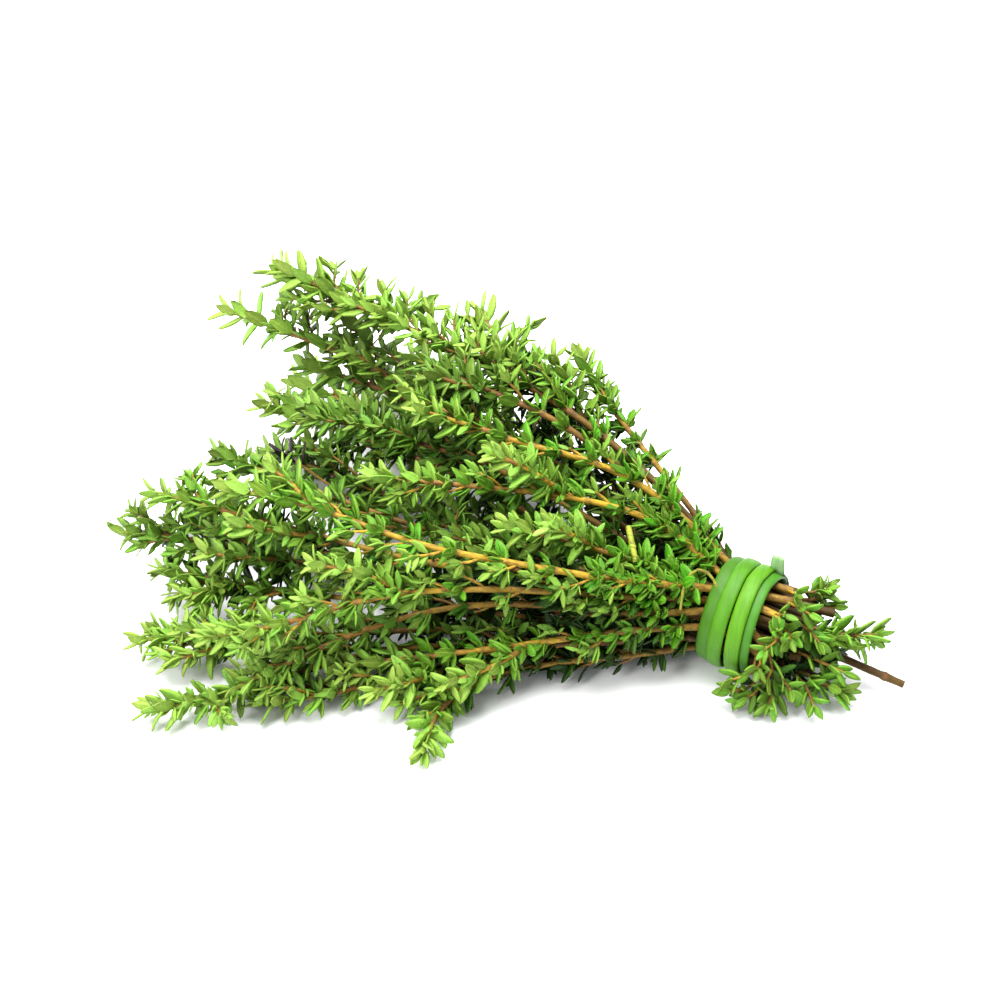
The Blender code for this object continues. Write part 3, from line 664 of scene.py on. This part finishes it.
def mottled(tree, surface, colour, size, strength, relief):
    """Puts a mottled colour and a fine relief, in metres, on the surface."""
    item = add_node(
        tree, "Group", node_tree=mottle_group, in_Colour=colour, in_Size=size, in_Strength=strength
    )
    tree.links.new(item.outputs["Colour"], surface.inputs["Base Color"])
    bump = add_node(tree, "Bump", in_Strength=0.6, in_Distance=relief, in_Height=item.outputs["Height"])
    tree.links.new(bump.outputs["Normal"], surface.inputs["Normal"])
    return bump


# Young wood, old wood and the wood near a cut end, each in the open and darker, the darker one for the
# sprig's dark wood and for painted shade deep in the bunch
WOODS = (
    ((0.42, 0.265, 0.02, 1), (0.14, 0.078, 0.012, 1)),
    ((0.30, 0.18, 0.016, 1), (0.065, 0.036, 0.008, 1)),
    ((0.27, 0.16, 0.022, 1), (0.06, 0.033, 0.008, 1)),
)
# Other ages, from where to where and how strongly: reddish twigs, green tips, dry straw
AGES = (
    (0.6, 0.82, 0.7, (0.21, 0.09, 0.026, 1)),
    (0.86, 1.0, 1.0, (0.17, 0.22, 0.02, 1)),
    (1.3, 1.9, 1.0, (0.27, 0.31, 0.03, 1)),
)
bark, tree, surface = new_finish("bark of young and old wood", 0.6, 0.2)
growth_and_shade = add_node(tree, "Attribute", attribute_name="growth_and_shade")
age, joint, dark = add_node(tree, "SeparateColor", in_Color=growth_and_shade.outputs["Color"]).outputs
# The darkness mixes the sprig's own dark wood with painted shade deep in the bunch
young_wood, old_wood, cut_wood = [blend(tree, dark, *pair) for pair in WOODS]
wood = blend(tree, fade(tree, age, 0.1, 0.5), old_wood, young_wood)
wood = blend(tree, fade(tree, age, 0.22, 0.06), wood, cut_wood)
for start, end, most, colour in AGES:
    wood = blend(tree, fade(tree, age, start, end, 0, most), wood, colour)
wood = blend(tree, fade(tree, joint, 0.2, 1.0, 0, 0.6), wood, (0.16, 0.07, 0.03, 1))
streaks = add_node(tree, "Group", node_tree=streak_group, in_Drawn_Out=(0.16, 1, 1), in_Size=1500.0)
dark_streaks = fade(tree, streaks.outputs["Streaks"], 0.5, 0.66, 0, 0.65)
wood = blend(tree, dark_streaks, wood, (0.09, 0.045, 0.015, 1))
mottled(tree, surface, wood, 900, 0.6, 0.14 * MM)

cut_face, tree, surface = new_finish("pale cut wood", 0.7, 0.3)
pale = add_node(tree, "RGB").outputs[0]
pale.default_value = (0.45, 0.34, 0.12, 1)
mottled(tree, surface, pale, 2500, 0.5, 0.05 * MM)

SHOOT_TIP = TIP_THICKNESS * 0.8
TWIG_TIP = TIP_THICKNESS * 0.6
dark_route = smooth_route([Vector(point) * MM for point in DARK_TWIG[1]])
stem_chance = random.Random(7)
for sprig, route in enumerate(stems):
    base, darkness = SPRIGS[sprig][2] * MM, SPRIGS[sprig][3]
    lines = [stem_line(route, base, TIP_THICKNESS, stem_chance)]
    for branches, thick, thin in (
        (shoots, SHOOT_THICKNESS, SHOOT_TIP),
        (twigs, TWIG_THICKNESS, TWIG_TIP),
    ):
        lines += [stem_line(line, thick, thin, stem_chance) for owner, line in branches if owner == sprig]
    for owner, thickness, colour_age, way in LOOSE_STALKS:
        if owner == sprig:
            stalk_route = smooth_route([Vector(point) * MM for point in way])
            stalk = stem_line(stalk_route, thickness * MM, thickness * MM, stem_chance)
            lines.append([(point, radius, colour_age, 0) for point, radius, _, _ in stalk])
    if sprig == DARK_TWIG[0]:
        lines.append(stem_line(dark_route, TWIG_THICKNESS, TWIG_TIP, stem_chance))
    stem = wooden_piece(f"stem_{sprig + 1:02d}", lines, darkness)
    stem.data.materials.append(bark)
    stem.data.materials.append(cut_face)
    cut_square(stem, lines[0])
    bpy.ops.object.shade_smooth_by_angle(angle=math.radians(50))
    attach(stem, "root")
    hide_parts(f"sprig_{sprig + 1:02d}")

# The leaves: small pointed ovals in opposite pairs, each pair a quarter turn from the
# last, with a tuft of younger leaves in each axil. A leaf has a groove along its midrib,
# margins rolled under and a paler underside, and it grows straight out of the stem.
LEAF_WIDTH_SHARE = 0.43
LEAF_THICKNESS_SHARE = 0.085
LEAVES_CLEAR_STRAP = (-7.5 * MM, 8 * MM)
TO_LIGHT = Vector((0.05, -0.45, 0.9))
# Where a leaf is narrower than a pressed ball: from, to, and the share of width left
LEAF_NARROWS = ((0.01, 0.2, 0.45), (0.7, 0.8, 0.88), (0.84, 0.99, 0.62))
# The groove on its face, the keel on its back and its rolled margins, in thicknesses
GROOVE, KEEL, ROLLED_MARGIN = 0.55, 0.25, 0.65
# Kinds of leaf: how far it curls back and twists, in degrees, and how wide it is
FULL_LEAVES = ((6, 0, 1.0), (18, 12, 1.05), (32, -10, 0.92), (48, 16, 0.9), (-12, 8, 0.95))
SMALL_LEAVES = ((-12, 0, 0.9), (12, 10, 1.0), (32, -14, 0.88))


def pick(piece, test):
    """Selects the points of a piece, in edit mode, that the test picks."""
    shape = bmesh.from_edit_mesh(piece.data)
    for point in shape.verts:
        point.select = test(point)
    shape.select_flush(True)
    bmesh.update_edit_mesh(piece.data)


def model_leaf(name, rings, curl, twist, wide):
    """A leaf one unit long: a ball pressed flat, grooved, its margins rolled, then curled."""
    bpy.ops.object.select_all(action="DESELECT")
    bpy.ops.mesh.primitive_uv_sphere_add(segments=8, ring_count=rings, radius=0.5)
    leaf = bpy.context.object
    leaf.name = name
    for face in leaf.data.polygons:
        face.material_index = 0 if face.center.y > 0 else 1
    across = [corner.co.x for corner in leaf.data.vertices]
    along = [corner.co.z + 0.5 for corner in leaf.data.vertices]
    width, thick = LEAF_WIDTH_SHARE * wide, LEAF_THICKNESS_SHARE
    bpy.ops.object.mode_set(mode="EDIT")
    bpy.ops.mesh.select_mode(type="VERT")
    bpy.ops.transform.resize(value=(width, thick, 1.0))
    bpy.ops.transform.translate(value=(0, 0, 0.5))
    for low, high, width_left in LEAF_NARROWS:
        pick(leaf, lambda p: low < p.co.z < high)
        bpy.ops.transform.resize(value=(width_left, 1, 1))
    pick(leaf, lambda p: abs(p.co.x) < 1e-4 and p.co.y > 1e-3)
    bpy.ops.transform.translate(value=(0, -GROOVE * thick, 0))
    pick(leaf, lambda p: abs(p.co.x) < 1e-4 and p.co.y < -0.3 * thick and p.co.z < 0.9)
    bpy.ops.transform.translate(value=(0, -KEEL * thick, 0))
    pick(leaf, lambda p: abs(p.co.x) > 1e-3 and abs(p.co.y) < 1e-4)
    bpy.ops.transform.translate(value=(0, -ROLLED_MARGIN * thick, 0))
    bpy.ops.object.mode_set(mode="OBJECT")
    uv = leaf.data.uv_layers[0]
    for loop in leaf.data.loops:
        k = loop.vertex_index
        reach = math.sqrt(max(1e-6, 0.25 - (along[k] - 0.5) ** 2))
        uv.data[loop.index].uv = (0.5 + 0.5 * across[k] / reach if reach > 0.01 else 0.5, along[k])
    for way, amount in (("TWIST", twist), ("BEND", -curl)):
        bow = leaf.modifiers.new(way.lower(), "SIMPLE_DEFORM")
        bow.deform_method = way
        bow.deform_axis = "Z" if way == "TWIST" else "X"
        bow.angle = math.radians(amount)
        bpy.ops.object.modifier_apply(modifier=bow.name)
    bpy.ops.object.shade_smooth()
    leaf.data.attributes.new("leaf", "FLOAT_COLOR", "POINT")
    return leaf


leaf_group, given, made = new_group(
    "leaf blade tone",
    {
        "Grown": (0.1, 0.2, 0.03, 1), "Young": (0.3, 0.4, 0.08, 1),
        "Rib": (0.3, 0.4, 0.12, 1), "Rib Shows": 0.6,
    },
    {"Colour": "Color", "Height": "Float"},
)
tree, given = leaf_group, given.outputs
# The leaf attribute: its youth, with painted light added at the fan's free edges; a random luck; painted
# shade deep in the bunch; and whether the leaf is green rather than withered
leaf_facts = add_node(tree, "Attribute", attribute_name="leaf").outputs
youth_and_light, luck, shade_amount = add_node(tree, "SeparateColor", in_Color=leaf_facts["Color"]).outputs
blade_map = add_node(tree, "UVMap").outputs["UV"]
across, along, _ = add_node(tree, "SeparateXYZ", in_Vector=blade_map).outputs
off_middle = sum_up(tree, "ABSOLUTE", sum_up(tree, "SUBTRACT", across, 0.5))
rib = fade(tree, off_middle, 0.13, 0.02)
rib_shows = sum_up(tree, "MULTIPLY", rib, given["Rib Shows"])
# Pale rolled margins, partly a painted highlight along their edges
pale_rim_and_highlight = fade(tree, off_middle, 0.3, 0.47, 0, 0.5)
foot = fade(tree, along, 0.35, 0.0, 0, 0.45)
in_shade = sum_up(tree, "MULTIPLY", shade_amount, 0.95)
hue = sum_up(tree, "MULTIPLY_ADD", luck, 0.035, 0.4825)
value = sum_up(tree, "MULTIPLY_ADD", luck, 0.55, 0.72)
tone = blend(tree, youth_and_light, given["Grown"], given["Young"])
tone = add_node(tree, "HueSaturation", in_Color=tone, in_Hue=hue, in_Value=value).outputs["Color"]
tone = blend(tree, foot, tone, given["Young"])
tone = blend(tree, pale_rim_and_highlight, tone, given["Rib"])
tone = blend(tree, rib_shows, tone, given["Rib"])
# Painted shade: leaves deep in the bunch are blended towards a near black green
tone = blend(tree, in_shade, tone, (0.007, 0.026, 0.002, 1))
tone = blend(tree, leaf_facts["Alpha"], (0.022, 0.013, 0.014, 1), tone)
tree.links.new(tone, made.inputs["Colour"])
slant = sum_up(tree, "MULTIPLY_ADD", off_middle, -5.0, sum_up(tree, "MULTIPLY", along, 8.0))
veins = sum_up(tree, "SINE", sum_up(tree, "MULTIPLY", slant, math.tau))
height = sum_up(tree, "MULTIPLY_ADD", veins, 0.2, sum_up(tree, "MULTIPLY", rib, -0.5))
tree.links.new(height, made.inputs["Height"])


def leaf_finish(name, grown, young, rib_colour, rib_shows, roughness, specular):
    """A leaf's material: its blade tone, mottled, with ribs in relief."""
    material, tree, surface = new_finish(name, roughness, specular)
    blade = add_node(
        tree, "Group", node_tree=leaf_group,
        in_Grown=grown, in_Young=young, in_Rib=rib_colour, in_Rib_Shows=rib_shows,
    )
    fine = mottled(tree, surface, blade.outputs["Colour"], 1400, 0.35, 0.05 * MM)
    ribs = add_node(
        tree, "Bump", in_Strength=0.5, in_Distance=0.15 * MM,
        in_Height=blade.outputs["Height"], in_Normal=fine.outputs["Normal"],
    )
    tree.links.new(ribs.outputs["Normal"], surface.inputs["Normal"])
    return material


leaf_face = leaf_finish(
    "leaf upper side",
    (0.048, 0.19, 0.002, 1), (0.305, 0.46, 0.075, 1), (0.195, 0.365, 0.032, 1), 0.4, 0.45, 0.2,
)
leaf_back = leaf_finish(
    "leaf underside",
    (0.08, 0.215, 0.006, 1), (0.285, 0.43, 0.075, 1), (0.24, 0.365, 0.055, 1), 0.6, 0.6, 0.15,
)

full_leaves = [model_leaf(f"full_leaf_{n}", 6, *kind) for n, kind in enumerate(FULL_LEAVES)]
small_leaves = [model_leaf(f"small_leaf_{n}", 4, *kind) for n, kind in enumerate(SMALL_LEAVES)]
for leaf in full_leaves + small_leaves:
    leaf.data.materials.append(leaf_face)
    leaf.data.materials.append(leaf_back)

box_low, box_high = Vector(solid_box[0]), Vector(solid_box[1])
LEAF_OVER_TABLE, LEAF_OFF_STRAP, LEAF_OFF_STEMS = 0.9 * MM, 0.6 * MM, 0.5 * MM
LEAF_DROOP = 0.2


def is_clear(sprig, root, way, face, length):
    """Whether a leaf stays in the bunch's room, off the table, the strap and other stems."""
    for share in (0.5, 0.8, 1.0):
        point = root + way * length * share - face * length * LEAF_DROOP * share**2
        if point.z < LEAF_OVER_TABLE or any(not box_low[k] < point[k] < box_high[k] for k in (0, 1, 2)):
            return False
        along = point.dot(ALONG_STRAP)
        if LEAVES_CLEAR_STRAP[0] < along < LEAVES_CLEAR_STRAP[1]:
            out = point - ALONG_STRAP * along - Vector((0, 0, STRAP_RADIUS))
            if out.length < STRAP_RADIUS + LEAF_OFF_STRAP:
                return False
        for _, number, _ in wood_tree.find_range(point, LEAF_OFF_STEMS):
            if wood_points[number][1] != sprig:
                return False
    return True


# The fan opens past this place, and its tips outside this middle stand in the light
FAN_FROM = -60 * MM
FAN_MIDDLE = (-22 * MM, 28 * MM)
# Painted shade is cut to this share at the free edges of the fan, and in its middle it is at least this
# share of the sprig's wood darkness
SHADE_AT_EDGE, OLD_WOOD_SHADES = 0.6, 0.5
LEAF_TRIES, TRY_TURN = 7, math.radians(17)
TURNS_TO_LIGHT = 0.45


def fan_edge(point):
    """The free edge of the fan that a point is at: 1 at the back, -1 at the front, or 0."""
    if point.x >= FAN_FROM:
        return 0
    return (point.y > FAN_MIDDLE[1]) - (point.y < FAN_MIDDLE[0])


def grow_leaf(leaves, models, sprig, root, tangent, azimuth, opening, length, youth_and_light, chance):
    """Puts one leaf on a stem, turned round it a little if its first place isn't clear."""
    for attempt in range(LEAF_TRIES):
        turn = TRY_TURN * ((attempt + 1) // 2) * (-1) ** attempt
        out = sideways(tangent, azimuth + turn)
        way = tangent * math.cos(opening) + out * math.sin(opening)
        face = tangent * math.sin(opening) - out * math.cos(opening)
        face = face.lerp(TO_LIGHT, TURNS_TO_LIGHT)
        face = (face - way * face.dot(way)).normalized()
        if is_clear(sprig, root, way, face, length):
            break
    else:
        return
    copy = chance.choice(models).copy()
    copy.data = copy.data.copy()
    spin = Matrix.Rotation(math.radians(chance.uniform(-18, 18)), 3, "Z")
    size = Matrix.Diagonal((length * chance.uniform(0.85, 1.12), length, length))
    lie = Matrix((face.cross(way), face, way)).transposed() @ spin @ size
    copy.data.transform(Matrix.Translation(root) @ lie.to_4x4())
    edge = fan_edge(root)
    # Painted shade: a leaf deep in the bunch is painted darker
    shade_amount = shade_depth(root + way * length * 0.6) * (SHADE_AT_EDGE if edge else 1)
    if root.x < FAN_FROM and not edge:
        shade_amount = max(shade_amount, OLD_WOOD_SHADES * SPRIGS[sprig][3])
    facts = (max(0, youth_and_light), chance.random(), shade_amount, float(youth_and_light >= 0)) * len(copy.data.vertices)
    copy.data.attributes["leaf"].data.foreach_set("color", facts)
    bpy.context.collection.objects.link(copy)
    leaves.append(copy)


# The neck, from the strap out: thick with leaves, which stand loose near the strap
NECK, NECK_LOOSE_FROM, NECK_LEAF_STEP = (-24 * MM, -6 * MM), -15 * MM, 3.5 * MM
BARE_STRETCH, SMALLER_FROM = (-20 * MM, -12 * MM), -40 * MM
# How far from the tip leaves are young and old, and how many pairs are still closing
YOUNG_WITHIN, OLD_FROM, CLOSED_PAIRS = 11 * MM, 70 * MM, 4
FULL_LEAF_LENGTHS, SMALL_LEAF_LENGTHS = (5.8, 7.8), (3.0, 5.2)


def near_strap(sprig, point):
    """Whether the neck is thick with leaves there: not on its upper side or front edge."""
    leafy = sprig not in BARE_AT_FIRST + FRONT_EDGE
    return leafy and NECK[0] < point.dot(ALONG_STRAP) < NECK[1]


def clothe(leaves, sprig, route, reach, fine, chance, withered=False):
    """Pairs of full leaves up a stem, with tufts of small ones in their axils."""
    places = nodes_from_tip(reach)
    if not fine and not withered:
        steps = [NECK_LEAF_STEP * k for k in range(6, int(reach / NECK_LEAF_STEP))]
        places = sorted(places + [step for step in steps if near_strap(sprig, place_on(route, step)[0])])
    for number, from_tip in enumerate(places):
        root, tangent = place_on(route, from_tip)
        bare = sprig in BARE_AT_FIRST and BARE_STRETCH[0] < root.x < BARE_STRETCH[1]
        if freedom(root) == 0 or bare:
            continue
        old = min(1.0, from_tip / OLD_FROM)
        closed = max(0.0, 1 - number / CLOSED_PAIRS)
        youth_and_light = max(0.0, 0.9 * math.exp(-from_tip / YOUNG_WITHIN) + chance.uniform(-0.05, 0.12))
        youth_and_light *= 0.6 if fine else 1
        # Leaves at the free edges of the fan are painted paler, as painted light where they stand in the
        # light, and those at the cut ends are old
        edge = fan_edge(root)
        youth_and_light += 0.2 if edge else 0
        youth_and_light = -1.0 if withered else youth_and_light * (0.45 if root.x > 0 else 1)
        for half in (0, 1):
            azimuth = math.pi / 2 * (2 * half + number) + math.radians(chance.uniform(20, 60))
            opening = math.radians(chance.uniform(38, 62) - 26 * closed)
            if near_strap(sprig, root) and root.dot(ALONG_STRAP) > NECK_LOOSE_FROM:
                opening += math.radians(chance.uniform(0, 60))
            length = chance.uniform(*FULL_LEAF_LENGTHS) * (1 - 0.22 * old) * (1 - 0.28 * closed) * MM
            if fine or sprig in BARE_AT_FIRST and root.x > SMALLER_FROM:
                length *= 0.8
            if edge > 0:
                length *= 1.16
            models = small_leaves if fine and root.x < 0 else full_leaves
            grow_leaf(leaves, models, sprig, root, tangent, azimuth, opening, length, youth_and_light, chance)
            count = chance.choice((0, 1, 2)) if fine else (1, 3, 5)[min(2, number // 3)]
            if withered or fine and root.x > 0:
                count = 0
            if edge > 0:
                count //= 2
            grow_tuft(leaves, sprig, root, tangent, azimuth, count, youth_and_light, chance)


def grow_tuft(leaves, sprig, root, tangent, azimuth, count, youth_and_light, chance):
    """A tuft in an axil: a tiny shoot of small leaves over the full leaf."""
    lean = math.radians(chance.uniform(28, 44))
    way = tangent * math.cos(lean) + sideways(tangent, azimuth) * math.sin(lean)
    first = chance.uniform(0, math.tau)
    for k in range(count):
        start = root + way * (0.3 + 0.75 * (k // 2)) * MM
        opening = math.radians(chance.uniform(22, 62) - 6 * (k // 2))
        length = chance.uniform(*SMALL_LEAF_LENGTHS) * MM
        turned = first + math.pi * k * 1.28
        grow_leaf(leaves, small_leaves, sprig, start, way, turned, opening, length, youth_and_light, chance)


for sprig, route in enumerate(stems):
    chance = random.Random(500 + sprig)
    bpy.ops.object.select_all(action="DESELECT")
    leaves = []
    clothe(leaves, sprig, route, (len(route) - 1) * STEM_STEP - 4 * MM, False, chance)
    for fine, branches in ((False, shoots), (True, twigs)):
        for owner, shoot in branches:
            if owner == sprig:
                clothe(leaves, sprig, shoot, (len(shoot) - 1) * STEM_STEP - 2 * MM, fine, chance)
    if sprig == DARK_TWIG[0]:
        clothe(leaves, sprig, dark_route, 11 * MM, False, chance, withered=True)
    for leaf in leaves:
        leaf.select_set(True)
    foliage = leaves[0]
    bpy.context.view_layer.objects.active = foliage
    bpy.ops.object.join()
    foliage.name = f"leaves_{sprig + 1:02d}"
    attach(foliage, "root")
    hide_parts(f"sprig_{sprig + 1:02d}")
for leaf in full_leaves + small_leaves:
    bpy.data.objects.remove(leaf, do_unlink=True)

# The strap: one soft green band, flat with rounded edges, wound four times round the
# neck of the bunch and pulled tight. Its last end comes up behind and stands free.
STRAP_WIDTH = 3.5 * MM
STRAP_THICKNESS = 1.0 * MM
# Where the band passes over the top and under the bottom: its place along the bunch, and
# how far in it lies
STRAP_PASSES = [
    (-3.4, 0.6), (-4.8, 0.4), (-0.6, -0.1), (-2.0, 0.0), (3.0, 0.0),
    (2.6, 0.0), (5.0, 0.9), (4.4, 0.9), (4.6, 0.2),
]
# The front of the bunch pushes each turn this far towards the cut ends
FRONT_BOW = 1.6 * MM
# The loose end: how far each step rises and leans back, and its thinning
LOOSE_END = ((1.1, -0.5, 1.0), (1.3, -0.1, 0.96), (1.3, 0.1, 0.94), (1.0, 0.1, 0.92), (0.3, 0.0, 0.7))
TURNS = len(STRAP_PASSES) // 2
TURN_STEPS, BAND_SIDES = 56, 14
# The band is wound roughly first, and then each point of it is laid in its place
ROUGH_RADIUS, ROUGH_RISE = 12, 3
# It starts so many half turns before its first pass, and winds so much further
STARTS_BEFORE, WINDS_FURTHER = 0.45, 1.025

bpy.ops.object.select_all(action="DESELECT")
bpy.ops.mesh.primitive_circle_add(
    vertices=BAND_SIDES, radius=1, location=(ROUGH_RADIUS, 0, 0), rotation=(math.pi / 2, 0, 0)
)
bpy.ops.object.transform_apply()
band = bpy.context.object
band.name = "green_strap"
winding = band.modifiers.new("winding", "SCREW")
winding.axis = "Z"
winding.iterations = TURNS
winding.screw_offset = ROUGH_RISE
winding.steps = winding.render_steps = TURN_STEPS
winding.use_merge_vertices = False
bpy.ops.object.modifier_apply(modifier=winding.name)
marks = [(place * MM, lies_in * MM) for place, lies_in in STRAP_PASSES]
tones = band.data.attributes.new("turn", "FLOAT", "POINT")
profile = [(vertex.co.x - ROUGH_RADIUS, vertex.co.z) for vertex in band.data.vertices[:BAND_SIDES]]
for vertex in band.data.vertices:
    ring, corner = divmod(vertex.index, BAND_SIDES)
    through, across = profile[corner]
    across = math.copysign(abs(across) ** 0.65, across)
    halves = ring / (TURN_STEPS / 2) * WINDS_FURTHER - STARTS_BEFORE
    mark = min(int(halves), len(marks) - 2)
    share = (1 - math.cos(math.pi * (halves - mark))) / 2
    place, lies_in = (a + (b - a) * share for a, b in zip(marks[mark], marks[mark + 1]))
    around = math.pi * halves
    radius = STRAP_RADIUS - lies_in - STRAP_THICKNESS / 2 + through * STRAP_THICKNESS / 2
    place += FRONT_BOW * max(0.0, math.sin(around))
    ring_point = ALONG_STRAP * (place + across * STRAP_WIDTH / 2)
    ring_point += ACROSS_STRAP * -math.sin(around) * radius
    ring_point += Vector((0, 0, math.cos(around) * radius + STRAP_RADIUS))
    vertex.co = ring_point
    tones.data[vertex.index].value = halves
bpy.ops.object.mode_set(mode="EDIT")
bpy.ops.mesh.select_mode(type="VERT")
last_ring = TURN_STEPS * TURNS * BAND_SIDES
for first in (0, last_ring):
    pick(band, lambda p: first <= p.index < first + BAND_SIDES)
    bpy.ops.mesh.edge_face_add()
for rise, back, narrower in LOOSE_END:
    bpy.ops.mesh.extrude_region_move(
        TRANSFORM_OT_translate={"value": Vector((0, 0, rise * MM)) + ACROSS_STRAP * back * MM}
    )
    bpy.ops.transform.resize(value=(narrower, narrower, narrower))
bpy.ops.mesh.select_all(action="SELECT")
bpy.ops.mesh.normals_make_consistent(inside=False)
bpy.ops.object.mode_set(mode="OBJECT")
for vertex in band.data.vertices[last_ring + BAND_SIDES :]:
    band.data.attributes["turn"].data[vertex.index].value = 9
bpy.ops.object.shade_smooth_by_angle(angle=math.radians(60))

# The green differs from turn to turn: the first and the last turn, which lie in under the others, are
# darker as painted shade, the third is brighter, and the loose end is pale: the half turns where each
# colour starts and is full
TURN_GREENS_AND_SHADE = (
    (1.7, 1.2, (0.04, 0.138, 0.003, 1)),
    (3.2, 3.8, (0.075, 0.225, 0.003, 1)),
    (5.0, 5.4, (0.045, 0.17, 0.010, 1)),
    (8.0, 9.0, (0.30, 0.50, 0.22, 1)),
)
green, tree, surface = new_finish("soft green strap", 0.5, 0.22)
turn = add_node(tree, "Attribute", attribute_name="turn").outputs["Fac"]
fresh = (0.055, 0.188, 0.003, 1)
for start, end, colour in TURN_GREENS_AND_SHADE:
    fresh = blend(tree, fade(tree, turn, start, end), fresh, colour)
streaks = add_node(
    tree, "Group", node_tree=streak_group,
    in_Turned=(0, 0, -STRAP_TURNED), in_Drawn_Out=(1, 0.07, 0.07), in_Size=2200.0,
).outputs["Streaks"]
fresh = blend(tree, fade(tree, streaks, 0.42, 0.68, 0, 0.4), fresh, (0.036, 0.12, 0.004, 1))
bump = mottled(tree, surface, fresh, 350, 0.2, 0.06 * MM)
ribs = add_node(tree, "Bump", in_Strength=0.5, in_Distance=0.05 * MM, in_Height=streaks)
tree.links.new(ribs.outputs["Normal"], bump.inputs["Normal"])
band.data.materials.append(green)
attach(band, "root")
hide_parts("strap")
